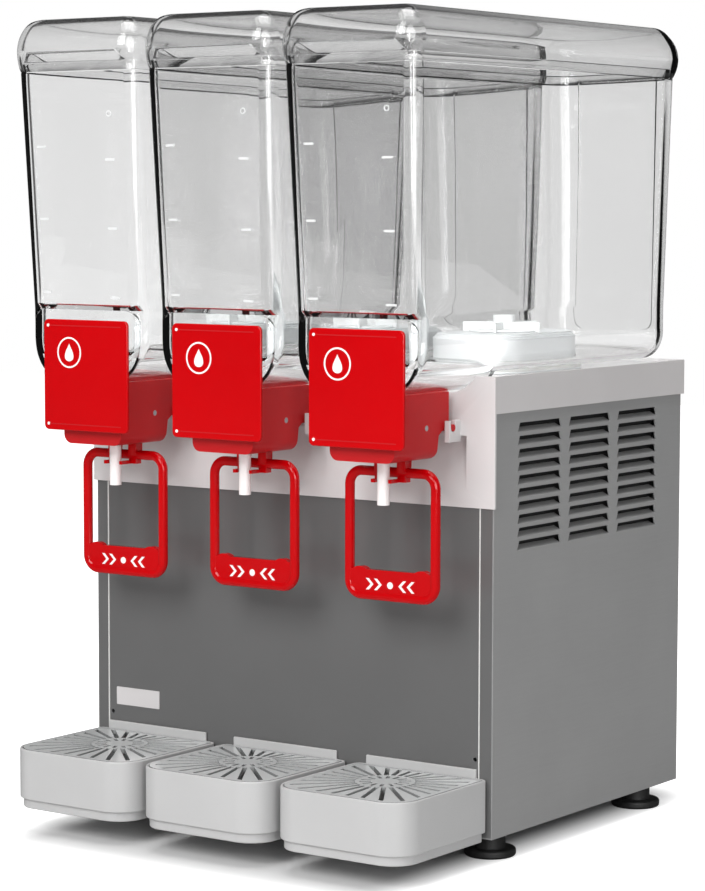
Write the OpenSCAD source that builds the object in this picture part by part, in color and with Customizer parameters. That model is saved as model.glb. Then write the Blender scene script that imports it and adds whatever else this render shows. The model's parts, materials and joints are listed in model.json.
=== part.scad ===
// Cold drink dispenser: three clear bowls on a refrigerated cabinet, each with its own push-lever tap.
// Millimetres. X runs to the viewer's right, Y to the back and Z up, with the dispenser on z = 0.
// Modules are drawn with y = 0 on the cabinet's front plane, and centred() moves them over the origin.

/* [Bowls and lids] */
// Outside width of a bowl at its shoulder, under the lid
bowl_w = 111; // [105:1:125]
// Clear gap between neighbouring lids
lid_gap = 5.4; // [4:0.2:20]
// How far a lid's bulge stands out from the bowl on each side
lid_bulge = 1.8; // [1:0.1:4]
// How far a lid's bulge stands out from the bowl at the front and the back
lid_end = 5.5; // [4:0.5:12]
// Height from the deck to the shoulder that the lid sits on
bowl_h = 215; // [180:1:280]
// Height of a lid above the shoulder
lid_h = 38; // [32:1:55]
// How far the top of a bowl reaches in front of the cabinet
bowl_reach = 93; // [88:0.5:108]
// How far the top of a bowl stands past the back of the cabinet
bowl_overhang = 3; // [0:0.5:10]
// How much narrower than the shoulder each side is at the top of the nose
bowl_taper = 4; // [2:0.5:7]
// Radius of a bowl's upright corners at the front
bowl_corner_r = 9; // [8:1:18]
// Radius of a bowl's upright corners at the back
bowl_rear_r = 20; // [16:1:26]
// Wall of a bowl
bowl_wall = 3; // [2:0.5:4]
// Wall of a lid
lid_wall = 2.2; // [1.5:0.1:3]
// Height of the neck inside the lid
neck_h = 7; // [4:0.5:10]

/* [Cabinet] */
// Width of the cabinet beside the outer bowls, on each side
side_margin = 3.5; // [2:0.5:20]
// Depth of the cabinet
cabinet_d = 265; // [250:1:320]
// Height of the cabinet from the feet to the deck
cabinet_h = 322.5; // [310:0.5:380]
// Height of the feet
foot_h = 19.5; // [15:0.5:40]
// Diameter of a foot
foot_d = 37; // [28:1:50]
// Distance of the feet from the cabinet's sides and back
foot_inset = 23; // [20:1:40]
// Thickness of the steel sheet
sheet = 1.2; // [0.8:0.1:2]
// Width of the side panels' front folds
fold_w = 10; // [6:0.5:16]
// Thickness of the moulded top cover
cover_t = 3; // [2:0.5:5]
// How far the top cover stands out from the steel
cover_out = 2; // [1.5:0.25:4]
// Height of the cover's skirt round the sides and back, below its rim
skirt_h = 26; // [18:1:40]
// Height of the cover's front apron, below its rim
apron_h = 92; // [80:1:110]
// Height of the raised rim round the deck
rim_h = 2; // [1:0.5:5]

/* [Louvres] */
// Rows of louvres in each side panel
louvre_rows = 10; // [4:1:12]
// Columns of louvres in each side panel
louvre_columns = 3; // [1:1:3]
// Width of a louvre
louvre_w = 59; // [40:1:62]
// Height of a louvre's opening
louvre_h = 6.4; // [4:0.1:7]
// Spacing of the rows
louvre_pitch = 9.25; // [8:0.25:12]
// How far a louvre's blade is pressed in
louvre_depth = 5; // [3:0.5:8]

/* [Taps and levers] */
// Width of the red front plate
plate_w = 79; // [60:1:84]
// Height of the red front plate
plate_h = 81; // [70:1:85]
// Thickness of the red front plate
plate_t = 2.7; // [1.5:0.1:4]
// Width of the tap housing
tap_w = 54; // [48:1:60]
// Height of the tap housing
tap_h = 46; // [42:1:56]
// Outside diameter of the spout tube
tube_d = 8.6; // [7:0.1:10]
// Bore of the spout tube
tube_bore = 5; // [3:0.1:5.5]
// Length of the spout tube below the tap housing
spout_l = 31.5; // [20:0.5:40]
// Distance of the spout in front of the cabinet
spout_reach = 49; // [47:0.5:52]
// Outside width of the lever's loop
lever_w = 79; // [64:1:96]
// Outside height of the lever's loop
lever_h = 94; // [80:1:110]
// Diameter of the lever's bar
lever_bar_d = 7; // [5:0.5:8]
// Height of the push plate at the foot of the loop
push_h = 21.5; // [16:0.5:34]
// Gap between the tap housing and the lever's loop
lever_drop = 6; // [4:0.5:10]
// Diameter of the lever's pivot pin
pin_d = 4; // [3:0.2:5]

/* [Drip trays] */
// Gap between neighbouring trays
tray_gap = 8; // [4:0.5:16]
// How far a tray reaches in front of the cabinet
tray_reach = 107.5; // [98:0.5:130]
// Height of a tray
tray_h = 44; // [38:1:60]
// Radius of a tray's front corners
tray_corner_r = 22; // [10:1:28]
// How far a tray's underside hangs below the cabinet
tray_drop = 1.5; // [0:0.5:5]
// Thickness of a drip grid
grid_t = 3.6; // [2.5:0.1:5]
// Slots round the centre of a drip grid
grid_slots = 28; // [16:4:32]

/* [Cooling and drive] */
// Width of an evaporator
evaporator_w = 72; // [60:1:74]
// Length of an evaporator
evaporator_l = 131; // [100:1:140]
// Height of an evaporator above the deck
evaporator_h = 28; // [22:1:36]
// Distance of the evaporators' middle behind the cabinet's front
evaporator_y = 104; // [100:1:112]
// Diameter of an impeller
impeller_d = 60; // [40:1:64]
// Diameter of the condenser fan
fan_d = 130; // [100:1:134]
// Diameter of the compressor
compressor_d = 118; // [100:1:122]
// Height of the compressor's can
compressor_h = 132; // [110:1:150]

/* [Hidden] */
// Running fit on a pin or shaft, measured on the radius
fit = 0.05;
// Clearance between parts that lift or slide past each other
slip = 0.4;
// Gap that keeps two curved faces apart
gap = 0.3;
// Overlap that makes a cut run clear through a face
eps = 0.5;
$fn = 48;

SIDES = ["left", "middle", "right"];
CABINET_NODES = [
    "base_pan", "front_panel", "left_side_panel", "right_side_panel", "rear_panel", "top_cover", "feet",
    "panel_screws", "evaporators", "bowl_gaskets", "drive_motors", "compressor", "compressor_grommets",
    "condenser", "fan_shroud", "fan_motor", "condenser_fan", "refrigerant_lines", "thermostat",
    "thermostat_knob", "switch_frame", "switch_rocker", "terminal_box", "cord_gland"
];
BOWL_NODES = [
    "bowl", "lid", "tap_housing", "front_plate", "spout_tube", "lever", "lever_pin", "lever_spring",
    "impeller", "drive_rotor", "drip_tray", "drip_grid"
];

// Spacing of the bowls and the cabinet's half width
bowl_pitch = bowl_w + 2 * lid_bulge + lid_gap;
cabinet_w = 2 * bowl_pitch + bowl_w + 2 * side_margin;
half_w = cabinet_w / 2;

// Levels above the table
deck_z = foot_h + cabinet_h;
rim_z = deck_z + rim_h;
skirt_z = rim_z - skirt_h;
apron_z = rim_z - apron_h;
base_z = foot_h + sheet;
roof_z = deck_z - cover_t;
shoulder_z = deck_z + bowl_h;

// Evaporator, its flange and the gasket that a bowl is pressed on
flange_t = 1.5;
gasket_t = 2.5;
flange_w = 6;
bowl_z = deck_z + flange_t + gasket_t;
evaporator_z = deck_z + evaporator_h;
evaporator_t = 2;
evaporator_crown = 3;
seat_gap = 1;

// Nose: a flat recess low in a bowl's front wall, which the front plate stands on
nose_back = 13;
nose_y = -(bowl_reach - nose_back);
nose_ledge = 4;
nose_top_z = bowl_z + 39.5;
nose_corner_r = 12;
bowl_front_low = nose_y - nose_ledge;
bowl_low_w = bowl_w / 2 - bowl_taper;
nose_half_w = bowl_low_w - 1;

// Trough under the front of a bowl, round below, which the tap hangs from
nose_drop = 9;
nose_z = deck_z - nose_drop;
trough_half_w = bowl_low_w - 2.5;
trough_r = 27;
trough_rear_y = 22;
trough_top_z = bowl_z + 6;

// Bowl above the trough, and the lid on it
bowl_rear_y = cabinet_d + bowl_overhang;
bowl_rear_drop = 3.5;
floor_in = 8;
floor_rear_in = 20;
floor_corner_r = 7;
floor_rear_r = 14;
fillet_h = 22;
fillet_steps = 5;
corner_steps = 5;
neck_in = 2.4;
neck_wall = 2.2;
lid_bulge_z = 14;
lid_roll = 18;

// Footprint: the trays reach furthest forward, and the lids or the controls furthest back
control_l = 9;
front_reach = max(tray_reach, bowl_reach + lid_end);
rear_reach = max(bowl_rear_y + lid_end, cabinet_d + control_l);
mid_y = (rear_reach - front_reach) / 2;

// Tap housing, hung under the trough, with its front plate in front of both
tap_z = nose_z - tap_h;
tap_rear_y = -8.5;
tap_step_y = -21;
tap_foot_y = -23.5;
tap_step_h = 9;
tap_rear_h = 21;
tap_front_y = nose_y + 5;
stud_d = 6;
stud_x = 18;
tap_corner_r = 7;
plate_lift = 10;
plate_z = tap_z + plate_lift;
plate_corner_r = 4;
collar_d = 14;
collar_t = 2.5;
outlet_d = 6;

// Lever: a hub on the pivot pin in the housing, two cheeks beside the tube and a loop that a cup pushes back
spout_y = -spout_reach;
pivot_y = spout_y + 13;
pivot_z = tap_z + 22;
hub_r = 5;
hub_w = 26;
cheek_x = 6;
cheek_w = 7;
cheek_d = 8;
bar_r = lever_bar_d / 2;
lever_y = spout_y + 11;
lever_top_z = tap_z - lever_drop;
lever_side_x = lever_w / 2 - bar_r;
lever_bend_r = 10;
lever_foot_z = lever_top_z - lever_h;
push_t = 5;
guide_w = 2.6;
guide_z = lever_top_z - lever_bar_d - 3;
guide_h = 2.5;
guide_front_y = spout_y - 3;
pocket_gap = 1.2;
pocket_rear_y = pivot_y + 9.5;
pocket_front_y = spout_y + tube_d / 2 - 1;
pinch_r = 3;
pinch_y = spout_y + tube_d / 2 + gap + pinch_r;
pinch_z = pivot_z - 18;
spring_wire = 0.8;
spring_turns = 3;
spring_w = 6;

// Pins on the tap housing and the hooks of the apron that carry them
hook_pin_d = 5;
hook_pin_y = -11;
hook_pin_z = nose_z - 25;
hook_x = tap_w / 2 + 1.5;
hook_t = 4;
hook_h = 15;
hook_front_y = -16;

// Recess in the apron behind each lever
recess_w = 75;
recess_top = 42;
recess_h = 38;
recess_d = 10;

// Drip tray and grid
tray_w = bowl_pitch - tray_gap;
tray_z = foot_h - tray_drop;
tray_top_z = tray_z + tray_h;
tray_wall = 2.2;
tray_ledge = 3;
tray_floor_t = 3;
tray_foot_h = 7;
tray_foot_in = 2.5;
tray_rear_r = 5;
lip_w = 94;
lip_h = 6.5;
tongue_w = 68;
tongue_t = 4;
tongue_l = 20;
tongue_z = tray_top_z - 12;
grid_ring_r = 10;
grid_ring_w = 3;
grid_border = 4;

// Drive under each bowl
rotor_d = 44;
rotor_h = 9;
rotor_z = evaporator_z - evaporator_t - rotor_h - 3;
shaft_d = 6;
motor_d = 58;
motor_h = 38;
motor_plate_t = 3;
motor_z = roof_z - motor_plate_t - motor_h;
spindle_h = 12;

// Machine room
machine_y = 132;
condenser_d = 40;
condenser_l = 160;
condenser_h = 168;
condenser_tubes = 6;
tube_low = 18;
tube_step = 26;
condenser_x = half_w - sheet - 12 - condenser_d;
fan_z = base_z + condenser_h / 2;
shroud_x = condenser_x - sheet - 2;
fan_x = shroud_x - 20;
fan_w = 14;
fan_motor_d = 48;
fan_motor_l = 44;
fan_motor_x = fan_x - 6 - fan_motor_l;
compressor_x = -(half_w - 84);
compressor_y = 150;
grommet_h = 8;
compressor_z = base_z + grommet_h;
compressor_foot_t = 3;
grommet_d = 20;
discharge_h = 86;
suction_h = 30;
stub_z = compressor_z + compressor_foot_t + discharge_h;
suction_z = compressor_z + compressor_foot_t + suction_h;
stub_l = 12;
pipe_d = 6;
drier_d = 20;

// Controls on the back
control_z = skirt_z - 40;
knob_x = -40;
switch_x = -90;
switch_w = 30;
switch_h = 22;
rocker_t = 5;
gland_x = -(half_w - 49);
gland_z = base_z + 40;
rear_in = 14;
screw_d = 4;
screw_head_d = 7.5;

module centred() {
    translate([0, -mid_y, 0]) children();
}

// The children at bowl number i, from 0 at the left
module at_bowl(i) {
    centred() translate([(i - 1) * bowl_pitch, 0, 0]) children();
}

// The children once for each bowl
module each_bowl() {
    for (i = [0 : 2]) translate([(i - 1) * bowl_pitch, 0, 0]) children();
}

// A box from one corner to the opposite one
module span(low, high) {
    translate(low) cube(high - low);
}

// A cylinder along X from x0 to x1
module bar_x(d, x0, x1) {
    translate([x0, 0, 0]) rotate([0, 90, 0]) cylinder(d = d, h = x1 - x0);
}

// A cylinder along Y from y0 to y1
module bar_y(d, y0, y1) {
    translate([0, y0, 0]) rotate([-90, 0, 0]) cylinder(d = d, h = y1 - y0);
}

// A profile drawn as [y, z] and extruded along X from x0 to x1
module profile_x(x0, x1) {
    translate([x0, 0, 0]) rotate([90, 0, 90]) linear_extrude(x1 - x0) children();
}

// A profile drawn as [x, z] and extruded along Y from y0 to y1
module profile_y(y0, y1) {
    translate([0, y1, 0]) rotate([90, 0, 0]) linear_extrude(y1 - y0) children();
}

// A rounded rectangle of width w from y0 to y1, with its own corner radius at the front and at the rear
module rounded_plan(w, y0, y1, front_r, rear_r) {
    translate([-w / 2, y0 + front_r]) square([w, y1 - y0 - front_r - rear_r]);
    translate([-w / 2 + front_r, y0]) square([w - 2 * front_r, front_r + eps]);
    translate([-w / 2 + rear_r, y1 - rear_r - eps]) square([w - 2 * rear_r, rear_r + eps]);
    for (x = [-1, 1]) {
        translate([x * (w / 2 - front_r), y0 + front_r]) circle(front_r);
        translate([x * (w / 2 - rear_r), y1 - rear_r]) circle(rear_r);
    }
}

// A round-ended slot of width w and overall length l along Y
module oblong(w, l) {
    translate([-w / 2, -(l - w) / 2]) square([w, l - w]);
    for (y = [-1, 1]) translate([0, y * (l - w) / 2]) circle(d = w);
}

// The oblong of an evaporator, grown by m on every side, from z0 to z1
module evaporator_block(m, z0, z1) {
    translate([0, evaporator_y, z0]) linear_extrude(z1 - z0)
        oblong(evaporator_w + 2 * m, evaporator_l + 2 * m);
}

// Points on an arc, for the rings of a loft
function arc(cx, cy, r, start) =
    [for (k = [0 : corner_steps]) let (a = start + 90 * k / corner_steps) [cx + r * cos(a), cy + r * sin(a)]];

// One level of a bowl or lid: half width w, front y0, rear y1, height z, corner radius r in front and q behind
function ring(w, y0, y1, r, q, z) =
    let (flat = concat(
        arc(w - r, y0 + r, r, -90), arc(w - q, y1 - q, q, 0),
        arc(-w + q, y1 - q, q, 90), arc(-w + r, y0 + r, r, 180)))
    [for (q = flat) [q[0], q[1], z]];

// A closed skin through rings that all have the same number of points
module loft(rings) {
    n = len(rings[0]);
    last = len(rings) - 1;
    sides = [for (k = [0 : last - 1]) for (i = [0 : n - 1]) let (a = k * n + i, b = k * n + (i + 1) % n)
        each [[a, a + n, b + n], [a, b + n, b]]];
    first_cap = [for (i = [0 : n - 1]) i];
    last_cap = [for (i = [n - 1 : -1 : 0]) last * n + i];
    polyhedron(points = [for (r = rings) each r], faces = concat([first_cap], sides, [last_cap]));
}

// Steel tub under the machine room, with flanges that the panels close on
module base_pan() {
    flange_h = 14;
    slot_w = 44;
    color("silver") difference() {
        span([-half_w + sheet, sheet, foot_h], [half_w - sheet, cabinet_d - sheet, foot_h + flange_h]);
        span([-half_w + 2 * sheet, 2 * sheet, base_z], [half_w - 2 * sheet, cabinet_d - 2 * sheet, deck_z]);
        at_feet() cylinder(d = shaft_d + 2 * fit, h = base_z + eps);
        for (k = [0 : 5]) {
            y = machine_y - 60 + 24 * k;
            span([-slot_w / 2, y, foot_h - eps], [slot_w / 2, y + 8, base_z + eps]);
        }
    }
}

// The children at the four feet
module at_feet() {
    front_y = foot_inset + 11;
    for (x = [-1, 1]) {
        translate([x * (half_w - foot_inset), front_y, 0]) children();
        translate([x * (half_w - foot_inset), cabinet_d - foot_inset, 0]) children();
    }
}

// Four rubber feet: a soft-edged disc, a waisted stem and a stud through the base
module feet() {
    disc_h = 6;
    edge_r = 2;
    stem_d = 22;
    color("#141414") at_feet() {
        rotate_extrude() {
            square([foot_d / 2 - edge_r, disc_h]);
            translate([0, edge_r]) square([foot_d / 2, disc_h - 2 * edge_r]);
            translate([foot_d / 2 - edge_r, edge_r]) circle(edge_r);
            translate([foot_d / 2 - edge_r, disc_h - edge_r]) circle(edge_r);
        }
        cylinder(d = stem_d, h = foot_h);
        cylinder(d = shaft_d, h = base_z + 6);
    }
}

// One louvre column of the right side panel: openings to cut
module louvre_cuts(y) {
    splay = 2.5;
    for (row = [0 : louvre_rows - 1]) {
        top = louvre_top_z - row * louvre_pitch;
        profile_x(half_w - sheet - eps, half_w + eps) polygon([
            [y, top - louvre_h], [y + louvre_w, top - louvre_h],
            [y + louvre_w - splay, top], [y + splay, top]
        ]);
    }
}

// One louvre column of the right side panel: blades that rise inwards from each opening's lower edge
module louvre_blades(y) {
    rise = 0.45 * louvre_h;
    for (row = [0 : louvre_rows - 1]) {
        low = louvre_top_z - row * louvre_pitch - louvre_h;
        translate([0, y, 0]) profile_y(0, louvre_w) polygon([
            [half_w, low - sheet / 2], [half_w, low], [half_w - sheet - louvre_depth, low + rise],
            [half_w - sheet - louvre_depth, low + rise - sheet], [half_w - sheet, low - sheet / 2]
        ]);
    }
}

louvre_top_z = skirt_z - 8;
louvre_first_y = 31;
louvre_step = louvre_w + 10;

// Right side panel: folded steel with three columns of pressed louvres
module side_panel() {
    color("#8a8a8a") {
        difference() {
            union() {
                span([half_w - sheet, 0, foot_h], [half_w, cabinet_d, roof_z]);
                span([half_w - fold_w, 0, foot_h], [half_w, sheet, roof_z]);
                span([half_w - rear_in - 10, cabinet_d - 2 * sheet, base_z + 16],
                    [half_w, cabinet_d - sheet, roof_z]);
            }
            for (c = [0 : louvre_columns - 1]) louvre_cuts(louvre_first_y + c * louvre_step);
            at_screws() bar_y(screw_d + 2 * fit, cabinet_d - 4 * sheet, cabinet_d + eps);
            each_bowl() trough_pocket(cover_t + slip);
        }
        for (c = [0 : louvre_columns - 1]) louvre_blades(louvre_first_y + c * louvre_step);
    }
}

module left_side_panel() {
    mirror([1, 0, 0]) side_panel();
}

module right_side_panel() {
    side_panel();
}

// Steel front with returned edges, slots for the trays' tongues and a small hole low at each side
module front_panel() {
    w = half_w - fold_w - slip;
    return_d = 12;
    top = apron_z + 8;
    hole_d = 3;
    color("#6e6e6e") difference() {
        union() {
            span([-w, 0, foot_h + slip], [w, sheet, top]);
            for (x = [-w, w - sheet]) span([x, 0, foot_h + 16], [x + sheet, return_d, top]);
        }
        each_bowl() span([-tongue_w / 2 - slip, -eps, tongue_z - slip],
            [tongue_w / 2 + slip, sheet + eps, tongue_z + tongue_t + slip]);
        for (x = [-1, 1]) translate([x * (w - 4), 0, tray_top_z + 13]) bar_y(hole_d, -eps, sheet + eps);
    }
}

// The children at the screws that hold the rear panel, on its two upright edges
module at_screws() {
    rows = 4;
    low = base_z + 30;
    step = (skirt_z - 12 - low) / (rows - 1);
    for (x = [-1, 1]) for (k = [0 : rows - 1])
        translate([x * (half_w - rear_in - 4), 0, low + k * step]) children();
}

// Steel back with an air grille and the openings for the controls
module rear_panel() {
    w = half_w - rear_in + 4;
    slots = 14;
    slot_w = 120;
    slot_x = 15;
    slot_low = base_z + 40;
    color("#8a8a8a") difference() {
        span([-w, cabinet_d - sheet, foot_h + slip], [w, cabinet_d, roof_z]);
        for (k = [0 : slots - 1]) translate([slot_x, 0, slot_low + 10 * k])
            span([0, cabinet_d - sheet - eps, 0], [slot_w, cabinet_d + eps, 4]);
        at_screws() bar_y(screw_d + 2 * fit, cabinet_d - sheet - eps, cabinet_d + eps);
        translate([knob_x, 0, control_z]) bar_y(shaft_d + 2 * slip, cabinet_d - sheet - eps, cabinet_d + eps);
        translate([switch_x, 0, control_z])
            span([-switch_w / 2, cabinet_d - sheet - eps, -switch_h / 2],
                [switch_w / 2, cabinet_d + eps, switch_h / 2]);
        translate([gland_x, 0, gland_z]) bar_y(14 + 2 * fit, cabinet_d - sheet - eps, cabinet_d + eps);
    }
}

// Pan-head screws of the rear panel
module panel_screws() {
    head_h = 2.2;
    color("#b8b8b8") at_screws() difference() {
        union() {
            bar_y(screw_d, cabinet_d - 3 * sheet, cabinet_d + eps);
            bar_y(screw_head_d, cabinet_d, cabinet_d + head_h);
        }
        span([-2.4, cabinet_d + head_h - 1.2, -0.5], [2.4, cabinet_d + head_h + eps, 0.5]);
        span([-0.5, cabinet_d + head_h - 1.2, -2.4], [0.5, cabinet_d + head_h + eps, 2.4]);
    }
}

// Sloping hollows behind the levers, deepest at the top, grown by m to leave a wall
module front_recesses(m) {
    top = rim_z - recess_top + m;
    each_bowl() profile_x(-recess_w / 2 - m, recess_w / 2 + m) polygon([
        [-cover_out - eps, top], [recess_d + m, top], [recess_d + m, top - 4],
        [-cover_out - eps, top - recess_h - 2 * m]
    ]);
}

// Pocket in the deck's front edge that a bowl's trough drops into, grown by m
module trough_pocket(m) {
    trough(-seat_gap - m, -cover_out - eps, trough_rear_y + seat_gap + m, rim_z + eps);
}

// Hook on the apron, with an open slot that a pin of the tap housing drops into
module hook() {
    low = hook_pin_z - 10;
    slot = hook_pin_d + 2 * slip;
    difference() {
        span([hook_x, hook_front_y, low], [hook_x + hook_t, -cover_out + eps, low + hook_h]);
        translate([0, hook_pin_y, hook_pin_z]) bar_x(slot, hook_x - eps, hook_x + hook_t + eps);
        span([hook_x - eps, hook_pin_y - slot / 2, hook_pin_z],
            [hook_x + hook_t + eps, hook_pin_y + slot / 2, rim_z]);
    }
}

// Moulded cover: deck with a rim, skirt round three sides and a tall apron in front
module top_cover() {
    out = half_w + cover_out;
    back = cabinet_d + cover_out;
    rim_w = 2.5;
    color("#d5d1d0") {
        difference() {
            union() {
                span([-out, -cover_out, roof_z], [out, back, deck_z]);
                difference() {
                    span([-out, -cover_out, skirt_z], [out, back, rim_z]);
                    span([-out + rim_w, -cover_out + rim_w, roof_z],
                        [out - rim_w, back - rim_w, rim_z + eps]);
                    span([-half_w, 0, skirt_z - eps], [half_w, cabinet_d, roof_z + eps]);
                }
                span([-out, -cover_out, apron_z], [out, 0, deck_z]);
                intersection() {
                    front_recesses(cover_t);
                    span([-half_w + fold_w, -cover_out, apron_z], [half_w - fold_w, cabinet_d, deck_z]);
                }
                each_bowl() intersection() {
                    trough_pocket(cover_t);
                    span([-half_w, -cover_out, apron_z], [half_w, cabinet_d, deck_z]);
                }
            }
            front_recesses(0);
            each_bowl() {
                trough_pocket(0);
                evaporator_block(-evaporator_t + slip, roof_z - eps, rim_z + eps);
            }
        }
        each_bowl() for (x = [0, 1]) mirror([x, 0, 0]) hook();
    }
}

// Cold plates: hollow oblong wells with a flange on the deck and a spindle for the impeller
module evaporators() {
    color("#c9ccd0") each_bowl() {
        difference() {
            union() {
                evaporator_block(flange_w, deck_z, deck_z + flange_t);
                evaporator_block(0, deck_z, evaporator_z - evaporator_crown);
                evaporator_block(-evaporator_crown / 2, deck_z, evaporator_z - evaporator_crown / 2);
                evaporator_block(-evaporator_crown, deck_z, evaporator_z);
            }
            evaporator_block(-evaporator_t - evaporator_crown, deck_z - eps, evaporator_z - evaporator_t);
        }
        translate([0, evaporator_y, evaporator_z - eps]) cylinder(d = shaft_d, h = spindle_h + eps);
    }
}

// Soft seals between the evaporator flanges and the bowls' floors
module bowl_gaskets() {
    color("#e8e6e2") each_bowl() difference() {
        evaporator_block(flange_w - 0.5, deck_z + flange_t, bowl_z);
        evaporator_block(gap, deck_z, bowl_z + eps);
    }
}

// Geared motors hung under the deck
module drive_motors() {
    boss_d = 18;
    color("#3a3d40") each_bowl() translate([0, evaporator_y, 0]) difference() {
        union() {
            translate([0, 0, roof_z - motor_plate_t]) linear_extrude(motor_plate_t)
                oblong(evaporator_w + 8, evaporator_l + 8);
            translate([0, 0, motor_z]) cylinder(d = motor_d, h = motor_h + eps);
            translate([0, 0, motor_z - 6]) cylinder(d = motor_d - 14, h = 6 + eps);
            translate([0, 0, roof_z - eps]) cylinder(d = boss_d, h = 6);
        }
        translate([0, 0, roof_z - 30]) cylinder(d = shaft_d + 2 * fit, h = 60);
    }
}

// Magnet disc on the motor's shaft, inside the evaporator
module drive_rotor() {
    magnets = 6;
    color("#55585c") translate([0, evaporator_y, 0]) difference() {
        union() {
            translate([0, 0, rotor_z]) cylinder(d = rotor_d, h = rotor_h);
            translate([0, 0, roof_z + 6]) cylinder(d = 12, h = rotor_z - roof_z - 6 + eps);
            translate([0, 0, roof_z - 30 + gap]) cylinder(d = shaft_d, h = rotor_z - roof_z + 30);
        }
        for (k = [0 : magnets - 1]) rotate(360 * k / magnets)
            translate([rotor_d / 2 - 8, 0, rotor_z + rotor_h - 2]) cylinder(d = 8, h = 3);
    }
}

// Low impeller on the evaporator's spindle
module impeller() {
    vanes = 5;
    disc_t = 1.6;
    vane_h = 7;
    vane_t = 2;
    hub_d = 16;
    z = evaporator_z + gap;
    color("#eef1f2") translate([0, evaporator_y, z]) difference() {
        union() {
            cylinder(d = hub_d, h = spindle_h);
            cylinder(d = impeller_d - 8, h = disc_t);
            for (k = [0 : vanes - 1]) rotate(360 * k / vanes + 0.01)
                translate([hub_d / 2 - 2, -vane_t / 2, 0])
                    cube([impeller_d / 2 - hub_d / 2 + 2, vane_t, vane_h]);
        }
        translate([0, 0, -eps]) cylinder(d = shaft_d + 2 * fit, h = spindle_h + 2 * eps);
    }
}

// Corner radius k steps up the round edge of a floor, from a at the floor to b on the walls
function fillet_r(a, b, k) = a + (b - a) * k / fillet_steps;

// Rings of a bowl's outside, from its floor up to the top of the neck
function bowl_outside() =
    let (w = bowl_low_w, s = bowl_w / 2, front = bowl_front_low, rear = bowl_rear_y - bowl_rear_drop,
        r = bowl_corner_r, q = bowl_rear_r, n = neck_in)
    [
        for (k = [0 : fillet_steps]) let (a = 90 * k / fillet_steps)
            ring(w - floor_in * (1 - sin(a)), front, rear - floor_rear_in * (1 - sin(a)),
                fillet_r(floor_corner_r, r, k), fillet_r(floor_rear_r, q, k), bowl_z + fillet_h * (1 - cos(a))),
        ring(w, front, rear, r, q, nose_top_z),
        ring(s, -bowl_reach, bowl_rear_y, r, q, shoulder_z),
        ring(s - n, -bowl_reach + n, bowl_rear_y - n, r - n, q - n, shoulder_z),
        ring(s - n, -bowl_reach + n, bowl_rear_y - n, r - n, q - n, shoulder_z + neck_h)
    ];

// Rings of a bowl's inside, from its floor up past the top of the neck
function bowl_inside() =
    let (t = bowl_wall, w = bowl_low_w - t, m = neck_in + neck_wall, s = bowl_w / 2 - m,
        front = nose_y + t, rear = bowl_rear_y - bowl_rear_drop - t, r = bowl_corner_r - t, q = bowl_rear_r - t)
    [
        for (k = [0 : fillet_steps]) let (a = 90 * k / fillet_steps)
            ring(w - floor_in * (1 - sin(a)), front, rear - floor_rear_in * (1 - sin(a)),
                fillet_r(floor_corner_r - t, r, k), fillet_r(floor_rear_r - t, q, k),
                bowl_z + t + (fillet_h - t) * (1 - cos(a))),
        ring(w, front, rear, r, q, nose_top_z),
        ring(w, bowl_front_low + t, rear, r, q, nose_top_z + nose_ledge),
        ring(s, -bowl_reach + m, bowl_rear_y - m, r, q - 2, shoulder_z - 8),
        ring(s, -bowl_reach + m, bowl_rear_y - m, r, q - 2, shoulder_z + neck_h + eps)
    ];

// Trough along Y from y0 to y1, cut off at the level top, with its outline drawn in by m
module trough(m, y0, y1, top) {
    half = trough_half_w - m;
    r = trough_r - m;
    low = nose_z + m;
    intersection() {
        profile_y(y0, y1) {
            translate([-half + r, low]) square([2 * (half - r), 2 * r]);
            for (x = [-1, 1]) translate([x * (half - r), low + r]) circle(r);
        }
        span([-half, y0 - eps, low - eps], [half, y1 + eps, top]);
    }
}

// Room in front of the nose, with rounded upper corners
module nose_recess() {
    r = nose_corner_r;
    profile_y(-bowl_reach, nose_y) {
        translate([-nose_half_w, nose_z - 1]) square([2 * nose_half_w, nose_top_z - nose_z - r + 1]);
        translate([-nose_half_w + r, nose_z]) square([2 * (nose_half_w - r), nose_top_z - nose_z]);
        for (x = [-1, 1]) translate([x * (nose_half_w - r), nose_top_z - r]) circle(r);
    }
}

// Clear bowl, open at the top, with a hole for the evaporator and an outlet in the trough
module bowl() {
    color([0.93, 0.95, 0.96, 0.35]) difference() {
        union() {
            loft(bowl_outside());
            trough(0, bowl_front_low, trough_rear_y, trough_top_z);
        }
        loft(bowl_inside());
        trough(bowl_wall, nose_y + bowl_wall + slip, trough_rear_y - bowl_wall, trough_top_z);
        nose_recess();
        evaporator_block(seat_gap, bowl_z - 2, bowl_z + bowl_wall + 2);
        translate([0, spout_y, nose_z - eps]) cylinder(d = outlet_d, h = bowl_wall + 2 * eps);
    }
}

// Outline of a lid at height z above the shoulder, m outside the shoulder's sides and e outside its ends
function lid_ring(m, e, z) =
    ring(bowl_w / 2 + m, -bowl_reach - e, bowl_rear_y + e,
        max(4, bowl_corner_r + e), max(4, bowl_rear_r + min(e, 0)), shoulder_z + z);

// Outline of a lid on its roll, at angle a from the bulge and t inside the outer face
function lid_roll_ring(a, t) =
    let (d = lid_roll * (1 - cos(a)) + t)
    lid_ring(lid_bulge - d, lid_end - d, lid_bulge_z + (lid_h - t - lid_bulge_z) * sin(a));

// Clear lid: a skirt that bulges over the shoulder and rolls into a flat top
module lid() {
    steps = 6;
    neck = neck_in - slip;
    color([0.93, 0.95, 0.96, 0.35]) loft(concat(
        [for (k = [steps : -1 : 0]) lid_roll_ring(90 * k / steps, lid_wall)],
        [lid_ring(-neck, -neck, neck_h + slip), lid_ring(-neck, -neck, 0), lid_ring(0, 0, 0)],
        [for (k = [0 : steps]) lid_roll_ring(90 * k / steps, 0)]
    ));
}

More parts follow.
